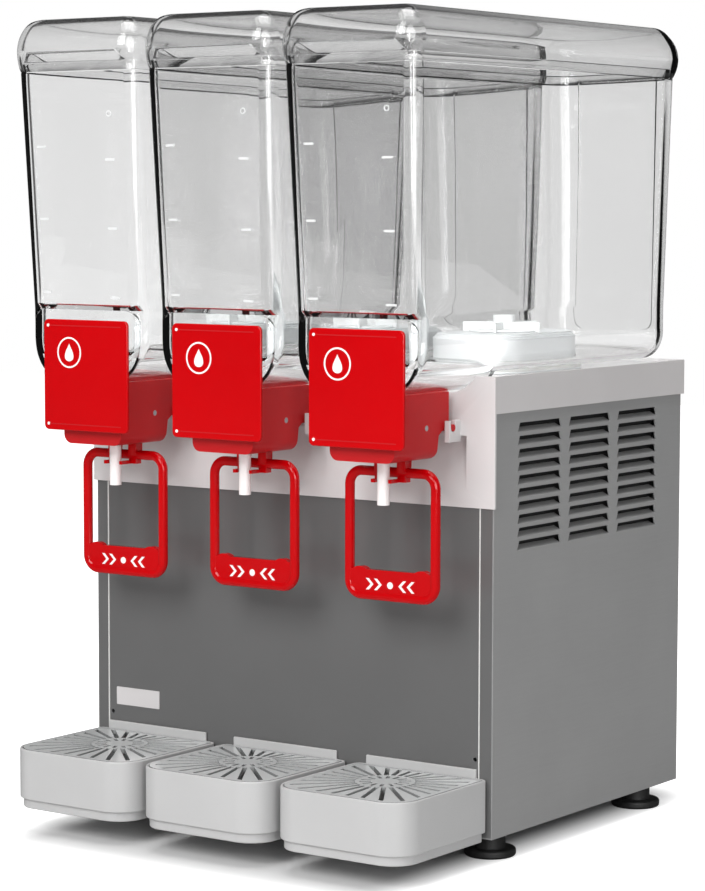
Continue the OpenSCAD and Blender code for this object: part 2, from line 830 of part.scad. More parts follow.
// Red tap housing: a box hung under the trough, stepped at the back, with a pocket for the lever
// and two studs that carry the foot of the front plate
module tap_housing() {
    pocket_top = pivot_z + hub_r + pocket_gap;
    pocket_x = hub_w / 2 + spring_w + 1;
    color("#a52a2c") difference() {
        union() {
            intersection() {
                profile_x(-tap_w / 2, tap_w / 2) polygon([
                    [tap_front_y, nose_z], [tap_rear_y, nose_z], [tap_rear_y, nose_z - tap_rear_h],
                    [tap_step_y, nose_z - tap_rear_h - tap_step_h], [tap_foot_y, tap_z], [tap_front_y, tap_z]
                ]);
                profile_y(nose_y - eps, 0) {
                    translate([-tap_w / 2, tap_z + tap_corner_r]) square([tap_w, tap_h]);
                    translate([-tap_w / 2 + tap_corner_r, tap_z]) square([tap_w - 2 * tap_corner_r, tap_h]);
                    for (x = [-1, 1]) translate([x * (tap_w / 2 - tap_corner_r), tap_z + tap_corner_r])
                        circle(tap_corner_r);
                }
            }
            translate([0, hook_pin_y, hook_pin_z]) bar_x(hook_pin_d, -hook_x - hook_t, hook_x + hook_t);
            for (x = [-1, 1]) translate([x * stud_x, 0, plate_z + stud_d])
                bar_y(stud_d, nose_y, tap_front_y + eps);
        }
        translate([0, spout_y, tap_z - eps]) cylinder(d = tube_d + 2 * fit, h = tap_h + 2 * eps);
        translate([0, spout_y, nose_z - collar_t]) cylinder(d = collar_d + 2 * fit, h = collar_t + eps);
        span([-pocket_x, pocket_front_y, tap_z - eps], [pocket_x, pocket_rear_y, pocket_top]);
        translate([0, pivot_y, pivot_z]) bar_x(pin_d + 2 * fit, -tap_w / 2 + 3, tap_w / 2 + eps);
    }
}

// Glossy red plate in front of the nose and the housing
module front_plate() {
    r = plate_corner_r;
    color("#d2000c") profile_y(nose_y - plate_t, nose_y) {
        translate([-plate_w / 2 + r, plate_z]) square([plate_w - 2 * r, plate_h]);
        translate([-plate_w / 2, plate_z + r]) square([plate_w, plate_h - 2 * r]);
        for (x = [-1, 1]) for (z = [r, plate_h - r])
            translate([x * (plate_w / 2 - r), plate_z + z]) circle(r);
    }
}

// Soft white tube that the lever pinches, with a collar under the outlet
module spout_tube() {
    color("#f5f1f1") translate([0, spout_y, 0]) difference() {
        union() {
            translate([0, 0, tap_z - spout_l]) cylinder(d = tube_d, h = nose_z - tap_z + spout_l);
            translate([0, 0, nose_z - collar_t]) cylinder(d = collar_d, h = collar_t);
        }
        translate([0, 0, tap_z - spout_l - eps]) cylinder(d = tube_bore, h = tap_h + spout_l + 2 * eps);
    }
}

// A quarter bend of the lever's bar in the loop's plane, from straight up to straight in, for x above zero
module lever_bend() {
    rotate([90, 0, 0]) rotate_extrude(angle = 90) translate([lever_bend_r, 0]) circle(bar_r);
}

// Push lever: hub, cheeks and pinch bar in the housing, a round-bar loop below and a push plate at its foot
module lever() {
    top = lever_top_z - bar_r;
    foot = lever_foot_z + bar_r;
    bend_x = lever_side_x - lever_bend_r;
    color("#d8000c") difference() {
        union() {
            translate([0, pivot_y, pivot_z]) bar_x(2 * hub_r, -hub_w / 2, hub_w / 2);
            translate([0, pinch_y, pinch_z])
                bar_x(2 * pinch_r, -cheek_x - cheek_w / 2, cheek_x + cheek_w / 2);
            for (x = [0, 1]) mirror([x, 0, 0]) {
                profile_x(cheek_x, cheek_x + cheek_w) polygon([
                    [pivot_y - cheek_d / 2, pivot_z], [pivot_y + cheek_d / 2, pivot_z],
                    [lever_y + cheek_d / 2, top], [lever_y - cheek_d / 2, top]
                ]);
                span([cheek_x, guide_front_y, guide_z], [cheek_x + guide_w, lever_y, guide_z + guide_h]);
                span([cheek_x, lever_y - 3, guide_z], [cheek_x + cheek_w, lever_y + 3, top]);
                translate([lever_side_x, lever_y, foot + lever_bend_r])
                    cylinder(r = bar_r, h = top - foot - 2 * lever_bend_r);
                translate([bend_x, lever_y, top - lever_bend_r]) lever_bend();
                translate([bend_x, lever_y, foot + lever_bend_r]) mirror([0, 0, 1]) lever_bend();
            }
            translate([0, lever_y, top]) bar_x(lever_bar_d, -bend_x, bend_x);
            translate([0, lever_y, foot]) bar_x(lever_bar_d, -bend_x, bend_x);
            push_plate();
        }
        translate([0, pivot_y, pivot_z]) bar_x(pin_d + 2 * fit, -hub_w, hub_w);
    }
}

// Flat plate across the foot of the loop, with the loop's rounded lower corners
module push_plate() {
    r = lever_bend_r;
    foot = lever_foot_z + bar_r;
    w = 2 * lever_side_x;
    profile_y(lever_y - push_t / 2, lever_y + push_t / 2) {
        translate([-w / 2, foot + r]) square([w, push_h - r - bar_r]);
        translate([-w / 2 + r, foot]) square([w - 2 * r, r + eps]);
        for (x = [-1, 1]) translate([x * (w / 2 - r), foot + r]) circle(r);
    }
}

// Pivot pin of the lever
module lever_pin() {
    color("silver") translate([0, pivot_y, pivot_z]) bar_x(pin_d, -tap_w / 2 + 3 + fit, tap_w / 2);
}

// Points of the torsion spring's wire, round the pin beside the hub
function spring_point(a) =
    let (r = pin_d / 2 + gap + spring_wire / 2, x0 = hub_w / 2 + spring_wire,
        run = spring_w - 2 * spring_wire)
    [x0 + run * a / (360 * spring_turns), pivot_y + r * cos(a), pivot_z + r * sin(a)];

// Torsion spring that swings the lever back to the front
module lever_spring() {
    turn_steps = 10;
    sides = 6;
    wire_r = spring_wire / 2;
    count = turn_steps * spring_turns;
    rings = [for (k = [0 : count]) let (a = 360 * k / turn_steps, p = spring_point(a))
        [for (j = [0 : sides - 1]) let (b = 360 * j / sides)
            [p[0] + wire_r * sin(b), p[1] + wire_r * cos(b) * cos(a), p[2] + wire_r * cos(b) * sin(a)]]];
    color("#9a9da0") loft(rings);
}

// Plan of a drip tray, drawn in by m on every side
module tray_plan(m) {
    rounded_plan(tray_w - 2 * m, -tray_reach + m, -slip - m, tray_corner_r - m, max(tray_rear_r - m, 1));
}

// Drip tray: deep tub with round front corners, a drawn-in foot, a back lip and a tongue that holds it
module drip_tray() {
    ledge_z = tray_top_z - grid_t;
    color("#cfcfcf") {
        difference() {
            union() {
                translate([0, 0, tray_z]) linear_extrude(tray_foot_h + eps) tray_plan(tray_foot_in);
                translate([0, 0, tray_z + tray_foot_h]) linear_extrude(tray_h - tray_foot_h) tray_plan(0);
            }
            translate([0, 0, tray_z + tray_floor_t]) linear_extrude(tray_h) tray_plan(tray_wall + tray_ledge);
            translate([0, 0, ledge_z]) linear_extrude(grid_t + eps) tray_plan(tray_wall);
        }
        span([-lip_w / 2, -slip - tray_wall, tray_top_z - 6], [lip_w / 2, -slip, tray_top_z + lip_h]);
        span([-tongue_w / 2, -slip - tray_wall, tongue_z], [tongue_w / 2, tongue_l, tongue_z + tongue_t]);
    }
}

// Drip grid: a plate with slots that fan out round a ring under the spout
module drip_grid() {
    inner_slots = grid_slots / 2;
    long_r = tray_reach;
    centre_y = spout_y + 3;
    long_slot_w = 3.4;
    short_slot_w = 2.6;
    ring_out = grid_ring_r + 8;
    color("#eceeee") translate([0, 0, tray_top_z - grid_t]) linear_extrude(grid_t) difference() {
        tray_plan(tray_wall + slip);
        intersection() {
            tray_plan(tray_wall + slip + grid_border);
            translate([0, centre_y]) for (k = [0 : grid_slots - 1]) rotate(360 * (k + 0.5) / grid_slots)
                translate([ring_out + grid_ring_w, -long_slot_w / 2]) square([long_r, long_slot_w]);
        }
        translate([0, centre_y]) for (k = [0 : inner_slots - 1]) rotate(360 * (k + 0.5) / inner_slots)
            translate([grid_ring_r, -short_slot_w / 2]) square([ring_out - grid_ring_r, short_slot_w]);
    }
}

// Hermetic compressor: a domed can on a footplate, with two pipe stubs
module compressor() {
    dome = 22;
    plate_w2 = 66;
    plate_d2 = 46;
    z = compressor_z + compressor_foot_t;
    color("#1d1f21") translate([compressor_x, compressor_y, 0]) difference() {
        union() {
            translate([0, 0, compressor_z]) linear_extrude(compressor_foot_t)
                rounded_plan(2 * plate_w2, -plate_d2, plate_d2, 10, 10);
            translate([0, 0, z - eps]) rotate_extrude() {
                square([compressor_d / 2 - dome, compressor_h]);
                square([compressor_d / 2, compressor_h - dome]);
                translate([compressor_d / 2 - dome, compressor_h - dome]) circle(dome);
            }
            translate([0, 0, stub_z]) bar_x(pipe_d + 4, compressor_d / 2 - 6, compressor_d / 2 + stub_l);
            translate([0, 0, suction_z]) bar_x(pipe_d + 4, compressor_d / 2 - 6, compressor_d / 2 + stub_l);
        }
        compressor_studs() cylinder(d = 8, h = deck_z);
    }
}

// The children at the compressor's four mounts
module compressor_studs() {
    for (x = [-1, 1]) for (y = [-1, 1]) translate([x * 57, y * 36, 0]) children();
}

// Rubber grommets under the compressor's footplate, each with a neck through it
module compressor_grommets() {
    color("#202020") translate([compressor_x, compressor_y, 0]) compressor_studs() {
        translate([0, 0, base_z]) cylinder(d = grommet_d, h = grommet_h);
        translate([0, 0, base_z]) cylinder(d = 8 - 2 * fit, h = grommet_h + compressor_foot_t + 2);
    }
}

// Condenser: two end plates, a stack of fins and rows of tubes through them
module condenser() {
    fins = 19;
    fin_step = (condenser_l - 2 * sheet) / (fins + 1);
    y0 = machine_y - condenser_l / 2;
    color("#9ea3a6") {
        for (y = [y0, y0 + condenser_l - sheet])
            span([condenser_x, y, base_z], [condenser_x + condenser_d, y + sheet, base_z + condenser_h]);
        for (k = [1 : fins])
            span([condenser_x, y0 + k * fin_step, base_z + 6],
                [condenser_x + condenser_d, y0 + k * fin_step + 0.6, base_z + condenser_h - 2]);
        for (k = [0 : condenser_tubes - 1]) for (x = [0.3, 0.7])
            translate([condenser_x + x * condenser_d, 0, base_z + tube_low + k * tube_step])
                bar_y(pipe_d + 2, y0 - 6, y0 + condenser_l + 6);
    }
}

// Shroud between the fan and the condenser, on a folded foot
module fan_shroud() {
    collar_l = 16;
    y0 = machine_y - condenser_l / 2;
    bore = fan_d + 6;
    color("#7d8184") difference() {
        union() {
            span([shroud_x, y0, base_z], [shroud_x + sheet, y0 + condenser_l, base_z + condenser_h]);
            span([shroud_x - 18, y0, base_z], [shroud_x + sheet, y0 + condenser_l, base_z + sheet]);
            translate([0, machine_y, fan_z]) bar_x(bore + 2 * sheet, shroud_x - collar_l, shroud_x + eps);
        }
        translate([0, machine_y, fan_z]) bar_x(bore, shroud_x - collar_l - eps, shroud_x + sheet + eps);
    }
}

// Fan motor on a folded bracket
module fan_motor() {
    bracket_w = 50;
    x0 = fan_motor_x;
    color("#3a3d40") difference() {
        union() {
            translate([0, machine_y, fan_z]) {
                bar_x(fan_motor_d, x0, x0 + fan_motor_l);
                bar_x(16, x0, x0 + fan_motor_l + 5);
            }
            span([x0 + 12, machine_y - bracket_w / 2, base_z],
                [x0 + 12 + 2 * sheet, machine_y + bracket_w / 2, fan_z]);
            span([x0 - 8, machine_y - bracket_w / 2, base_z],
                [x0 + 12 + sheet, machine_y + bracket_w / 2, base_z + 2 * sheet]);
        }
        translate([0, machine_y, fan_z]) bar_x(shaft_d + 2 * fit, x0 + 10, x0 + fan_motor_l + 10);
    }
}

// Axial fan on the motor's shaft
module condenser_fan() {
    blades = 5;
    hub_d = 34;
    pitch_angle = 32;
    chord = 30;
    color("#2a2c2e") translate([fan_x, machine_y, fan_z]) {
        bar_x(hub_d, 0, fan_w);
        bar_x(shaft_d, -fan_motor_l + 10, eps);
        for (k = [0 : blades - 1]) rotate([360 * k / blades, 0, 0])
            translate([fan_w / 2, 0, hub_d / 2 - 2]) rotate([0, 0, pitch_angle])
                translate([-0.9, -chord / 2, 0]) cube([1.8, chord, fan_d / 2 - hub_d / 2 - 3]);
    }
}

// A copper pipe through points, with a round elbow at each
module pipe(points, d) {
    for (k = [0 : len(points) - 2]) {
        a = points[k];
        b = points[k + 1];
        v = b - a;
        translate(a) rotate([0, acos(v[2] / norm(v)), atan2(v[1], v[0])]) cylinder(d = d, h = norm(v));
        if (k > 0) translate(a) sphere(d = d);
    }
}

// Brazed pipework: discharge pipe, filter drier and the suction pipe back from the evaporators
module refrigerant_lines() {
    stub_x = compressor_x + compressor_d / 2 + stub_l;
    y0 = machine_y - condenser_l / 2 - 6;
    inlet = [condenser_x + 0.3 * condenser_d, y0, base_z + tube_low + (condenser_tubes - 1) * tube_step];
    outlet = [condenser_x + 0.3 * condenser_d, y0, base_z + tube_low];
    run_x = stub_x + 8;
    front_y = y0 - 14;
    manifold_z = motor_z - 16;
    manifold_y = evaporator_y + motor_d / 2 + 14;
    rise = roof_z - motor_plate_t;
    drier_x = shroud_x - 60;
    color("#b5703c") {
        pipe([[stub_x, compressor_y, stub_z], [run_x, compressor_y, stub_z], [run_x, front_y, stub_z],
            [inlet[0], front_y, stub_z], [inlet[0], front_y, inlet[2]], inlet], pipe_d);
        pipe([outlet, [outlet[0], front_y, outlet[2]], [drier_x + 20, front_y, outlet[2]]], pipe_d);
        translate([0, front_y, outlet[2]]) {
            bar_x(drier_d, drier_x - 40, drier_x + 10);
            bar_x(pipe_d + 5, drier_x - 48, drier_x + 20);
        }
        pipe([[drier_x - 48, front_y, outlet[2]], [-bowl_pitch, front_y, outlet[2]],
            [-bowl_pitch, front_y, manifold_z], [-bowl_pitch, manifold_y, manifold_z]], pipe_d - 2);
        pipe([[stub_x, compressor_y, suction_z], [run_x + 12, compressor_y, suction_z],
            [run_x + 12, manifold_y, suction_z], [run_x + 12, manifold_y, manifold_z]], pipe_d);
        translate([0, manifold_y, manifold_z]) bar_x(pipe_d + 2, -bowl_pitch - 12, bowl_pitch + 12);
        each_bowl() pipe([[0, manifold_y, manifold_z], [0, manifold_y, rise]], pipe_d);
    }
}

// Thermostat behind the rear panel
module thermostat() {
    color("#e2e0da") translate([knob_x, 0, control_z]) difference() {
        union() {
            span([-20, cabinet_d - sheet - 26, -15], [20, cabinet_d - sheet, 15]);
            bar_y(16, cabinet_d - sheet - 30, cabinet_d - sheet);
        }
        bar_y(shaft_d + 2 * fit, cabinet_d - sheet - 18, cabinet_d);
    }
}

// Round knob of the thermostat, with a raised grip
module thermostat_knob() {
    skirt_d = 30;
    grip_w = 7;
    color("#1b1b1b") translate([knob_x, 0, control_z]) {
        bar_y(shaft_d, cabinet_d - sheet - 17, cabinet_d + eps);
        bar_y(skirt_d, cabinet_d + gap, cabinet_d + 2.5);
        bar_y(skirt_d - 6, cabinet_d + gap, cabinet_d + 5);
        span([-grip_w / 2, cabinet_d + 1, -skirt_d / 2 + 2],
            [grip_w / 2, cabinet_d + control_l, skirt_d / 2 - 2]);
    }
}

// Bezel of the power switch, snapped into the rear panel
module switch_frame() {
    bezel = 2.5;
    wall = 2;
    back = cabinet_d - sheet - 18;
    color("#151515") translate([switch_x, 0, control_z]) difference() {
        union() {
            span([-switch_w / 2 - bezel, cabinet_d, -switch_h / 2 - bezel],
                [switch_w / 2 + bezel, cabinet_d + 2, switch_h / 2 + bezel]);
            span([-switch_w / 2 + fit, back, -switch_h / 2 + fit],
                [switch_w / 2 - fit, cabinet_d + eps, switch_h / 2 - fit]);
        }
        span([-switch_w / 2 + wall, back + wall, -switch_h / 2 + wall],
            [switch_w / 2 - wall, cabinet_d + 3, switch_h / 2 - wall]);
        translate([0, rocker_y, 0]) bar_x(2 * (1 + fit), -switch_w / 2 + 0.6, switch_w / 2 - 0.6);
    }
}

rocker_y = cabinet_d - 5;

// Rocker of the power switch, on two trunnions in the bezel
module switch_rocker() {
    w = switch_w / 2 - 2 - slip;
    h = switch_h / 2 - 4.6;
    color("#c8141a") translate([switch_x, rocker_y, control_z]) {
        profile_x(-w, w)
            polygon([[-rocker_t, -2], [-rocker_t, 2], [4, h], [7.5, h], [6, 0], [4.2, -h], [0.6, -h]]);
        bar_x(2, -switch_w / 2 + 1, switch_w / 2 - 1);
    }
}

// Electrical box on the base
module terminal_box() {
    x = gland_x + 32;
    y1 = cabinet_d - 2 * sheet - 6;
    color("#d8d8d4") {
        span([x - 26, y1 - 34, base_z], [x + 26, y1, base_z + 26]);
        span([x - 28, y1 - 36, base_z + 22], [x + 28, y1 + 2, base_z + 26]);
    }
}

// Cord gland in the rear panel: flange outside, nut inside and a bore for the cord
module cord_gland() {
    color("#161616") translate([gland_x, 0, gland_z]) difference() {
        union() {
            bar_y(14, cabinet_d - sheet - 10, cabinet_d + eps);
            bar_y(22, cabinet_d, cabinet_d + 4);
            bar_y(17, cabinet_d, cabinet_d + control_l);
            translate([0, cabinet_d - sheet - 6, 0]) rotate([-90, 0, 0]) cylinder(d = 21, h = 6, $fn = 6);
        }
        bar_y(8, cabinet_d - sheet - 11, cabinet_d + 11);
    }
}

centred() base_pan();
centred() front_panel();
centred() left_side_panel();
centred() right_side_panel();
centred() rear_panel();
centred() top_cover();
centred() feet();
centred() panel_screws();
centred() evaporators();
centred() bowl_gaskets();
centred() drive_motors();
centred() compressor();
centred() compressor_grommets();
centred() condenser();
centred() fan_shroud();
centred() fan_motor();
centred() condenser_fan();
centred() refrigerant_lines();
centred() thermostat();
centred() thermostat_knob();
centred() switch_frame();
centred() switch_rocker();
centred() terminal_box();
centred() cord_gland();
for (i = [0 : 2]) {
    at_bowl(i) bowl();
    at_bowl(i) lid();
    at_bowl(i) tap_housing();
    at_bowl(i) front_plate();
    at_bowl(i) spout_tube();
    at_bowl(i) lever();
    at_bowl(i) lever_pin();
    at_bowl(i) lever_spring();
    at_bowl(i) impeller();
    at_bowl(i) drive_rotor();
    at_bowl(i) drip_tray();
    at_bowl(i) drip_grid();
}
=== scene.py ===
"""Looks of a cold drink dispenser with three clear bowls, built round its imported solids.

Shapes are drawn in millimetres from the plane of the cabinet's front, and placed in metres in the frame of
the solids.
"""
import json
import math

import bmesh
import bpy
from mathutils import Matrix, Vector

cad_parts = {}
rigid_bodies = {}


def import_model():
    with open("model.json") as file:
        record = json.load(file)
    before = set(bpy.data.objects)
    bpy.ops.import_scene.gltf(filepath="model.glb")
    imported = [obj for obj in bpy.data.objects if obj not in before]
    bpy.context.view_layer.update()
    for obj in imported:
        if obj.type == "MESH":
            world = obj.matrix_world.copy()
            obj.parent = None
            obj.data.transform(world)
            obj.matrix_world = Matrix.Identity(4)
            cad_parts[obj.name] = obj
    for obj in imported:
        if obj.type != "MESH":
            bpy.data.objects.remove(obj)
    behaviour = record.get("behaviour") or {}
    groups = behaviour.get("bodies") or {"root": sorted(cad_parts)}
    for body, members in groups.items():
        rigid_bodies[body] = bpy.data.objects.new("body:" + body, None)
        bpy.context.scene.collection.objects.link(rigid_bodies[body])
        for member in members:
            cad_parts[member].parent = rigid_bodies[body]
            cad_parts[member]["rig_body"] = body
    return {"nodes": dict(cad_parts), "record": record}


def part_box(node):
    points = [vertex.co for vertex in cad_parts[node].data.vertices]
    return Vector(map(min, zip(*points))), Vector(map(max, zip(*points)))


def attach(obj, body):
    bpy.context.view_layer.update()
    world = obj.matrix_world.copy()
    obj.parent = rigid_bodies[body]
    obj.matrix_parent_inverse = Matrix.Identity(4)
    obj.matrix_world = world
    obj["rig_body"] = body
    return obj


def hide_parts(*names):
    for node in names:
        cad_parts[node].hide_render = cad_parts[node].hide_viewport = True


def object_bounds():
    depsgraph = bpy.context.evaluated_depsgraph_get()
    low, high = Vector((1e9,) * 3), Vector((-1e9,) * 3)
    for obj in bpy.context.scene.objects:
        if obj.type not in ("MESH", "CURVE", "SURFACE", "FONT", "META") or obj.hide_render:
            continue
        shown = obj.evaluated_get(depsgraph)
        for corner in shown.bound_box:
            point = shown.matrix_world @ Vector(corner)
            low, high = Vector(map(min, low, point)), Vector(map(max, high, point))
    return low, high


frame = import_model()
CAD_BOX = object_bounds()

MM = 0.001
SIDES = ("left", "middle", "right")
FRONT_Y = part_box("front_panel")[0].y
CABINET = frame["nodes"]["front_panel"]["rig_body"]
SLOTS = {part["node"]: part["material_slot"] for part in frame["record"]["subparts"]}
WELD = 0.002
FLAT_ANGLE = 0.6


# Helpers for places and meshes

def extent(node):
    """Lowest and highest corner of a CAD node in millimetres, with y from the cabinet's front plane."""
    shift = Vector((0, FRONT_Y, 0))
    return tuple((corner - shift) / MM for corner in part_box(node))


def middle_x(side):
    """Middle of one bowl in millimetres."""
    low, high = extent(side + "_bowl")
    return (low.x + high.x) / 2


def placed(mesh, x=0.0):
    """Moves a mesh drawn in millimetres into the frame, x millimetres to the right."""
    mesh.transform(Matrix.Translation((x * MM, FRONT_Y, 0)) @ Matrix.Scale(MM, 4))
    return mesh


def mesh_of(bm, name, sharp=35):
    """A mesh from a bmesh, smooth except at edges sharper than the given angle in degrees."""
    bmesh.ops.recalc_face_normals(bm, faces=bm.faces)
    mesh = bpy.data.meshes.new(name)
    bm.to_mesh(mesh)
    bm.free()
    mesh.shade_smooth()
    mesh.set_sharp_from_angle(angle=math.radians(sharp))
    return mesh


def linked(name, data):
    """A new object in the scene, from a mesh, light or camera."""
    obj = bpy.data.objects.new(name, data)
    bpy.context.scene.collection.objects.link(obj)
    return obj


def piece(name, mesh, body, slot, replaces=None):
    """A shown object that rides on a body, with the finish of a material slot."""
    obj = linked(name, mesh)
    mesh.materials.clear()
    mesh.materials.append(FINISHES[slot])
    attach(obj, body)
    if replaces:
        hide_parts(replaces)
    return obj


def evaluated(obj):
    """The mesh of an object with its modifiers applied."""
    return bpy.data.meshes.new_from_object(obj.evaluated_get(bpy.context.evaluated_depsgraph_get()))


def combined(mesh, *steps):
    """The mesh with other meshes added to it or taken from it, by steps of an operation and a mesh."""
    obj = linked("work", mesh)
    tools = []
    for operation, tool_mesh in steps:
        tool = linked("tool", tool_mesh)
        tools.append(tool)
        modifier = obj.modifiers.new(operation, "BOOLEAN")
        modifier.operation = operation
        modifier.solver = "EXACT"
        modifier.object = tool
    result = evaluated(obj)
    for used in [obj] + tools:
        bpy.data.objects.remove(used)
    return result


def ring(half_w, y0, y1, r, z, steps=10, rear_r=None):
    """Points of a rectangle with round corners at height z, with its own radius at the rear if given."""
    q = r if rear_r is None else rear_r
    points = []
    for cx, cy, radius, start in ((half_w - q, y1 - q, q, 0), (q - half_w, y1 - q, q, 90),
                                  (r - half_w, y0 + r, r, 180), (half_w - r, y0 + r, r, 270)):
        for k in range(steps + 1):
            a = math.radians(start + 90 * k / steps)
            points.append((cx + radius * math.cos(a), cy + radius * math.sin(a), z))
    return points


def disc(x, z, r, steps):
    """Outline of a disc in the x and z plane, with steps to each quarter."""
    return [(px + x, pz) for px, pz, _ in ring(r, z - r, z + r, r - HAIR, 0, steps)]


def loft(rings, name):
    """A closed mesh through rings of equal count, with flat ends."""
    bm = bmesh.new()
    rows = [[bm.verts.new(p) for p in points] for points in rings]
    count = len(rows[0])
    for low, high in zip(rows, rows[1:]):
        for k in range(count):
            bm.faces.new((low[k], low[(k + 1) % count], high[(k + 1) % count], high[k]))
    bm.faces.new(reversed(rows[0]))
    bm.faces.new(rows[-1])
    return mesh_of(bm, name)


def extruded(outline, y0, y1, name, edge=0.0):
    """A plate with an outline of x and z points, between two depths, with its front edges softened."""
    bm = bmesh.new()
    front = [bm.verts.new((x, y0, z)) for x, z in outline]
    back = [bm.verts.new((x, y1, z)) for x, z in outline]
    count = len(outline)
    face = bm.faces.new(front)
    bm.faces.new(reversed(back))
    for k in range(count):
        bm.faces.new((front[k], front[(k + 1) % count], back[(k + 1) % count], back[k]))
    if edge:
        bmesh.ops.bevel(bm, geom=list(face.edges), offset=edge, segments=2, affect="EDGES",
                        clamp_overlap=True)
    return mesh_of(bm, name)


def block(x0, x1, z0, z1, r, y0, y1, name, edge=0.0, lean=0.0):
    """A plate with round corners in the x and z plane; lean moves it back, for each millimetre up."""
    outline = [(x + (x0 + x1) / 2, y) for x, y, _ in ring((x1 - x0) / 2, z0, z1, r, 0, steps=5)]
    mesh = extruded(outline, y0, y1, name, edge)
    for vertex in mesh.vertices:
        vertex.co.y += lean * (vertex.co.z - (z0 + z1) / 2)
    return mesh


def annulus(x, z, r, width, y0, y1, name, steps=48):
    """A flat ring in the x and z plane."""
    bm = bmesh.new()
    loops = []
    for radius, y in ((r, y1), (r, y0), (r - width, y0), (r - width, y1)):
        loops.append([bm.verts.new((x + radius * math.cos(2 * math.pi * k / steps), y,
                                    z + radius * math.sin(2 * math.pi * k / steps))) for k in range(steps)])
    for a, b in zip(loops, loops[1:] + loops[:1]):
        for k in range(steps):
            bm.faces.new((a[k], a[(k + 1) % steps], b[(k + 1) % steps], b[k]))
    return mesh_of(bm, name)


def joined(meshes, name):
    """One mesh from several."""
    bm = bmesh.new()
    for mesh in meshes:
        bm.from_mesh(mesh)
        bpy.data.meshes.remove(mesh)
    mesh = bpy.data.meshes.new(name)
    bm.to_mesh(mesh)
    bm.free()
    return mesh


def soft_edges(obj, width, segments=2, angle=30):
    """Rounds an object's sharp edges by width millimetres."""
    bevel = obj.modifiers.new("edges", "BEVEL")
    bevel.width = width * MM
    bevel.segments = segments
    bevel.limit_method = "ANGLE"
    bevel.angle_limit = math.radians(angle)
    bevel.harden_normals = True
    bevel.use_clamp_overlap = True


def softened(node, width, segments=2, angle=30):
    """A copy of a CAD node with its sharp edges rounded by width millimetres, in place of the node."""
    source = frame["nodes"][node]
    bm = bmesh.new()
    bm.from_mesh(source.data)
    bmesh.ops.remove_doubles(bm, verts=bm.verts, dist=WELD * MM)
    bmesh.ops.dissolve_limit(bm, angle_limit=math.radians(FLAT_ANGLE), verts=bm.verts, edges=bm.edges)
    mesh = mesh_of(bm, node + "_soft", angle)
    soft_edges(piece(node + "_dressed", mesh, source["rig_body"], SLOTS[node], node), width, segments, angle)


# Finishes: each is a procedural material, with the colour set as it shows in daylight

NOISE_RANGE = (0.3, 0.7)
NOISE_DETAIL = 3.0
# Rays for the painted shade that darkens slots and corners
PAINTED_SHADE_SAMPLES = 4
CLEAR_COLOUR = (0.99, 0.99, 0.99, 1)
CLEAR_IOR = 1.5
CLEAR_GRAIN = 6
CLEAR_ROUGHNESS = 0.01
CLEAR_SHADOW = (0.93, 0.94, 0.94, 1)
CLEAR_GREY = (0.4, 0.4, 0.4, 1)
BOWL_TINT = 19
LID_TINT = 80
GRAINED = (400, 30, 900)
BRUSHED = (6, 300, 1200)


def linear(code):
    """Linear colour from a six-digit sRGB code."""
    channels = [int(code[k:k + 2], 16) / 255 for k in (0, 2, 4)]
    return [c / 12.92 if c <= 0.04045 else ((c + 0.055) / 1.055) ** 2.4 for c in channels]


class Nodes:
    """A node tree, with short ways to add nodes to it."""

    def __init__(self, tree):
        self.tree = tree

    def add(self, kind):
        return self.tree.nodes.new(kind)

    def link(self, source, target):
        self.tree.links.new(source, target)

    def value(self, operation, first, second=None):
        """The result of an operation on one or two values, where the second may be a plain number."""
        node = self.add("ShaderNodeMath")
        node.operation = operation
        self.link(first, node.inputs[0])
        if isinstance(second, float):
            node.inputs[1].default_value = second
        elif second is not None:
            self.link(second, node.inputs[1])
        return node.outputs["Value"]

    def ramp(self, source, start, end, low, high, curve="SMOOTHSTEP"):
        """A value that goes from low at start to high at end."""
        node = self.add("ShaderNodeMapRange")
        node.interpolation_type = curve
        for name, number in (("From Min", start), ("From Max", end), ("To Min", low), ("To Max", high)):
            node.inputs[name].default_value = number
        self.link(source, node.inputs["Value"])
        return node.outputs["Result"]


